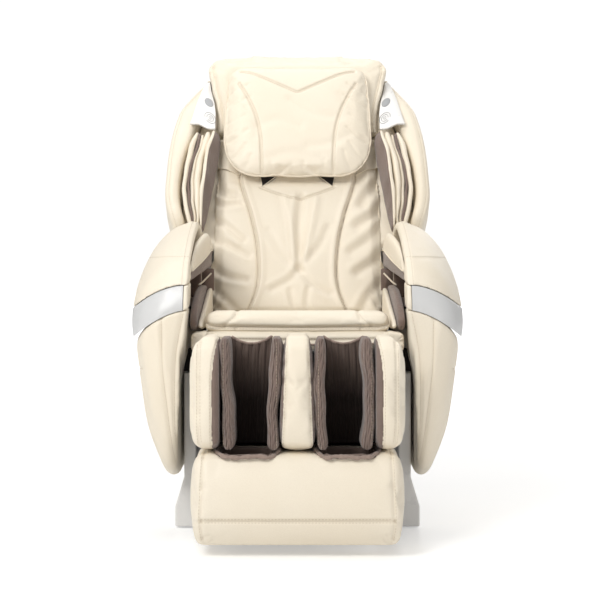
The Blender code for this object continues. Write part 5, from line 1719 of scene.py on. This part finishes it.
def foot_rims():
    """Bunched cloth round the mouth of each well, and its lining."""
    for sign, word in SIDES:
        low, high, near, far = WELL_IN - 0.002, WELL_OUT + 0.002, WELL_FRONT - 0.002, -0.500
        path = [(low, far), (low - 0.003, -0.56), (low - 0.001, -0.600), (low + 0.018, near - 0.003)]
        path += [(0.085, near - 0.006), (0.14, near - 0.006), (high - 0.018, near - 0.003)]
        path += [(high + 0.001, -0.600), (high + 0.003, -0.56), (high, far)]
        path = spline(path, 150)
        points = []
        for k, (x, y) in enumerate(path):
            t = k / 149
            dip = 0.0085 * max(0.0, min(1.0, (-0.585 - y) / 0.045)) ** 1.5
            points.append((sign * x, y - 0.3 * dip, 0.2325 - dip + 0.0014 * math.sin(t * 31) + 0.0007 * math.sin(t * 77)))
        thick = [0.0052 * (0.9 + 0.16 * math.sin(k * 0.55 + sign) + 0.10 * math.sin(k * 1.31)) for k in range(150)]
        rim = tube(f"foot_well_rim_{word}", points, np.array(thick), sides=16)
        finished(rim, BROWN_TRIM, "foot_unit", "taupe_fabric")
        inner = []
        middle = np.array((sign * (WELL_IN + WELL_OUT) / 2, (WELL_FRONT + WELL_REAR) / 2))
        for depth, share in ((0.2285, 0.985), (0.222, 0.955), (0.212, 0.965), (0.17, 0.975), (0.12, 0.978), (0.0925, 0.975)):
            ring = []
            for i in range(120):
                a = 2 * math.pi * i / 120
                px = (WELL_OUT - WELL_IN) / 2 * share * math.copysign(abs(math.cos(a)) ** 0.35, math.cos(a))
                py = (WELL_REAR - WELL_FRONT) / 2 * share * math.copysign(abs(math.sin(a)) ** 0.35, math.sin(a))
                fold = 1 + 0.012 * math.sin(i * 0.9 + depth * 90) + 0.008 * math.sin(i * 0.41)
                ring.append((middle[0] + px * fold, middle[1] + py * fold, depth + 0.0015 * math.sin(i * 0.63)))
            inner.append(np.array(ring))
        lining = loft(f"foot_well_lining_{word}", inner, caps=False)
        wall = lining.modifiers.new("wall", "SOLIDIFY")
        wall.thickness, wall.offset = 0.0014, 0.0
        applied(lining)
        face_out(lining)
        finished(lining, BROWN, "foot_unit", "taupe_fabric")
        sole = copy_of(f"foot_bed_{word}", f"foot_sole_{word}")
        remeshed(sole, 0.004, 3)
        finished(sole, BROWN, "foot_unit", "taupe_fabric", f"foot_sole_{word}")
    bars = []
    for sign in (-1, 1):
        low, high = sorted((sign * 0.1005, sign * 0.1195))
        bars.append(box_tool((low, -0.4585, 0.11), (high, -0.4485, 0.3995)))
    guide = joined("foot_slide_bars", bars)
    edge = guide.modifiers.new("edge", "BEVEL")
    edge.width, edge.segments = 0.0015, 2
    applied(guide)
    guide.data.shade_smooth()
    guide.data.set_sharp_from_angle(angle=math.radians(40))
    finished(guide, STEEL, "foot_unit", "painted_steel")


foot_boot()
foot_rims()


# ---- CAD pieces that stay -------------------------------------------------------------------
NODE_LOOKS = {
    "base_frame": (STEEL, "painted_steel"),
    "seat_frame": (STEEL, "painted_steel"),
    "back_frame": (STEEL, "painted_steel"),
    "leg_frame": (STEEL, "painted_steel"),
    "back_actuator_rod": (CHROME, "chromed_steel"),
    "leg_actuator_rod": (CHROME, "chromed_steel"),
    "lead_screw": (CHROME, "chromed_steel"),
    "back_shell": (WHITE, "white_plastic"),
    "calf_housing": (BLACK, "black_plastic"),
}
for prefix, look in (
    ("base_cover", (WHITE, "white_plastic")),
    ("arm_band", (SILVER, "silver_trim")),
    ("arm_", (CREAM, "cream_leather")),
    ("wing", (CREAM, "cream_leather")),
    ("calf_pad", (CREAM, "cream_leather")),
    ("seat_", (CREAM, "cream_leather")),
    ("foot_shell", (CREAM, "cream_leather")),
    ("head_", (CREAM, "cream_leather")),
    ("back_cushion", (CREAM, "cream_leather")),
    ("speaker_panel", (WHITE, "white_plastic")),
    ("foot_pad", (RUBBER, "rubber")),
    ("transport_wheel", (RUBBER, "rubber")),
    ("forearm_", (BROWN, "taupe_fabric")),
    ("hip_pad", (BROWN, "taupe_fabric")),
    ("shoulder_airbag", (BROWN, "taupe_fabric")),
    ("calf_airbag", (BROWN, "taupe_fabric")),
    ("foot_sole", (BROWN, "taupe_fabric")),
):
    for node_name in nodes:
        if node_name.startswith(prefix) and node_name not in NODE_LOOKS:
            NODE_LOOKS[node_name] = look


def dress_nodes():
    for name, obj in nodes.items():
        material, slot = NODE_LOOKS.get(name, (BLACK, "black_plastic"))
        for place in obj.material_slots:
            place.material = material


dress_nodes()


# ---- studio ---------------------------------------------------------------------------------
def studio():
    """Pale floor, soft light and the camera."""
    scene = bpy.context.scene
    scene.view_settings.view_transform = "Standard"
    world = bpy.data.worlds.new("studio")
    world.use_nodes = True
    tree = world.node_tree
    sky = tree.nodes["Background"]
    sky.inputs["Color"].default_value = (1.0, 0.99, 0.975, 1)
    seen = tree.nodes.new("ShaderNodeLightPath").outputs["Is Camera Ray"]
    level = tree.nodes.new("ShaderNodeMapRange")
    level.inputs["To Min"].default_value, level.inputs["To Max"].default_value = 0.42, 1.05
    tree.links.new(seen, level.inputs["Value"])
    tree.links.new(level.outputs["Result"], sky.inputs["Strength"])
    scene.world = world

    floor = mesh_from("floor", [(-40, -40, 0), (40, -40, 0), (40, 40, 0), (-40, 40, 0)], [(0, 1, 2, 3)])
    s = Shader("pale_floor", 0.28, Specular_IOR_Level=0.25)
    s.colour(s.mix(s.noise(2.0, 3), (0.93, 0.93, 0.925), (0.90, 0.90, 0.895)))
    s.bsdf.inputs["Emission Color"].default_value = (1, 1, 1, 1)
    away = s.node("ShaderNodeVectorMath", operation="LENGTH")
    s.link(s.place, away.inputs[0])
    glow = s.node("ShaderNodeMath", operation="MULTIPLY")
    dimmed = s.node("ShaderNodeMapRange")
    dimmed.inputs["To Min"].default_value = 0.30
    s.link(s.node("ShaderNodeLightPath").outputs["Is Camera Ray"], dimmed.inputs["Value"])
    s.link(s.ramp(away.outputs["Value"], 0.32, 1.0, 1.2, 6.0), glow.inputs[0])
    s.link(dimmed.outputs["Result"], glow.inputs[1])
    s.link(glow.outputs[0], s.bsdf.inputs["Emission Strength"])
    floor.data.materials.append(s.material)

    for name, place, size, power, tint in (
        ("key", (-2.1, -3.0, 3.3), 2.0, 120, (1.0, 0.985, 0.955)),
        ("fill", (2.8, -2.8, 1.5), 2.6, 20, (1.0, 0.97, 0.93)),
        ("top", (-0.3, 0.4, 3.4), 2.4, 36, (1.0, 0.99, 0.975)),
        ("rear", (1.2, 3.2, 2.2), 2.4, 28, (1.0, 0.99, 0.98)),
    ):
        lamp = bpy.data.lights.new(name, "AREA")
        lamp.energy, lamp.size, lamp.color = power, size, tint
        light = bpy.data.objects.new(name, lamp)
        scene.collection.objects.link(light)
        light.location = place
        light.rotation_euler = (Vector((0, -0.1, 0.6)) - Vector(place)).to_track_quat("-Z", "Y").to_euler()

    lens = bpy.data.cameras.new("camera")
    lens.lens, lens.sensor_width = 87, 36
    lens.shift_x, lens.shift_y = 0.0042, -0.05
    camera = bpy.data.objects.new("camera", lens)
    camera.location = (0, -3.85, 0.638)
    camera.rotation_euler = (math.radians(90), 0, 0)
    scene.collection.objects.link(camera)
    scene.camera = camera


studio()
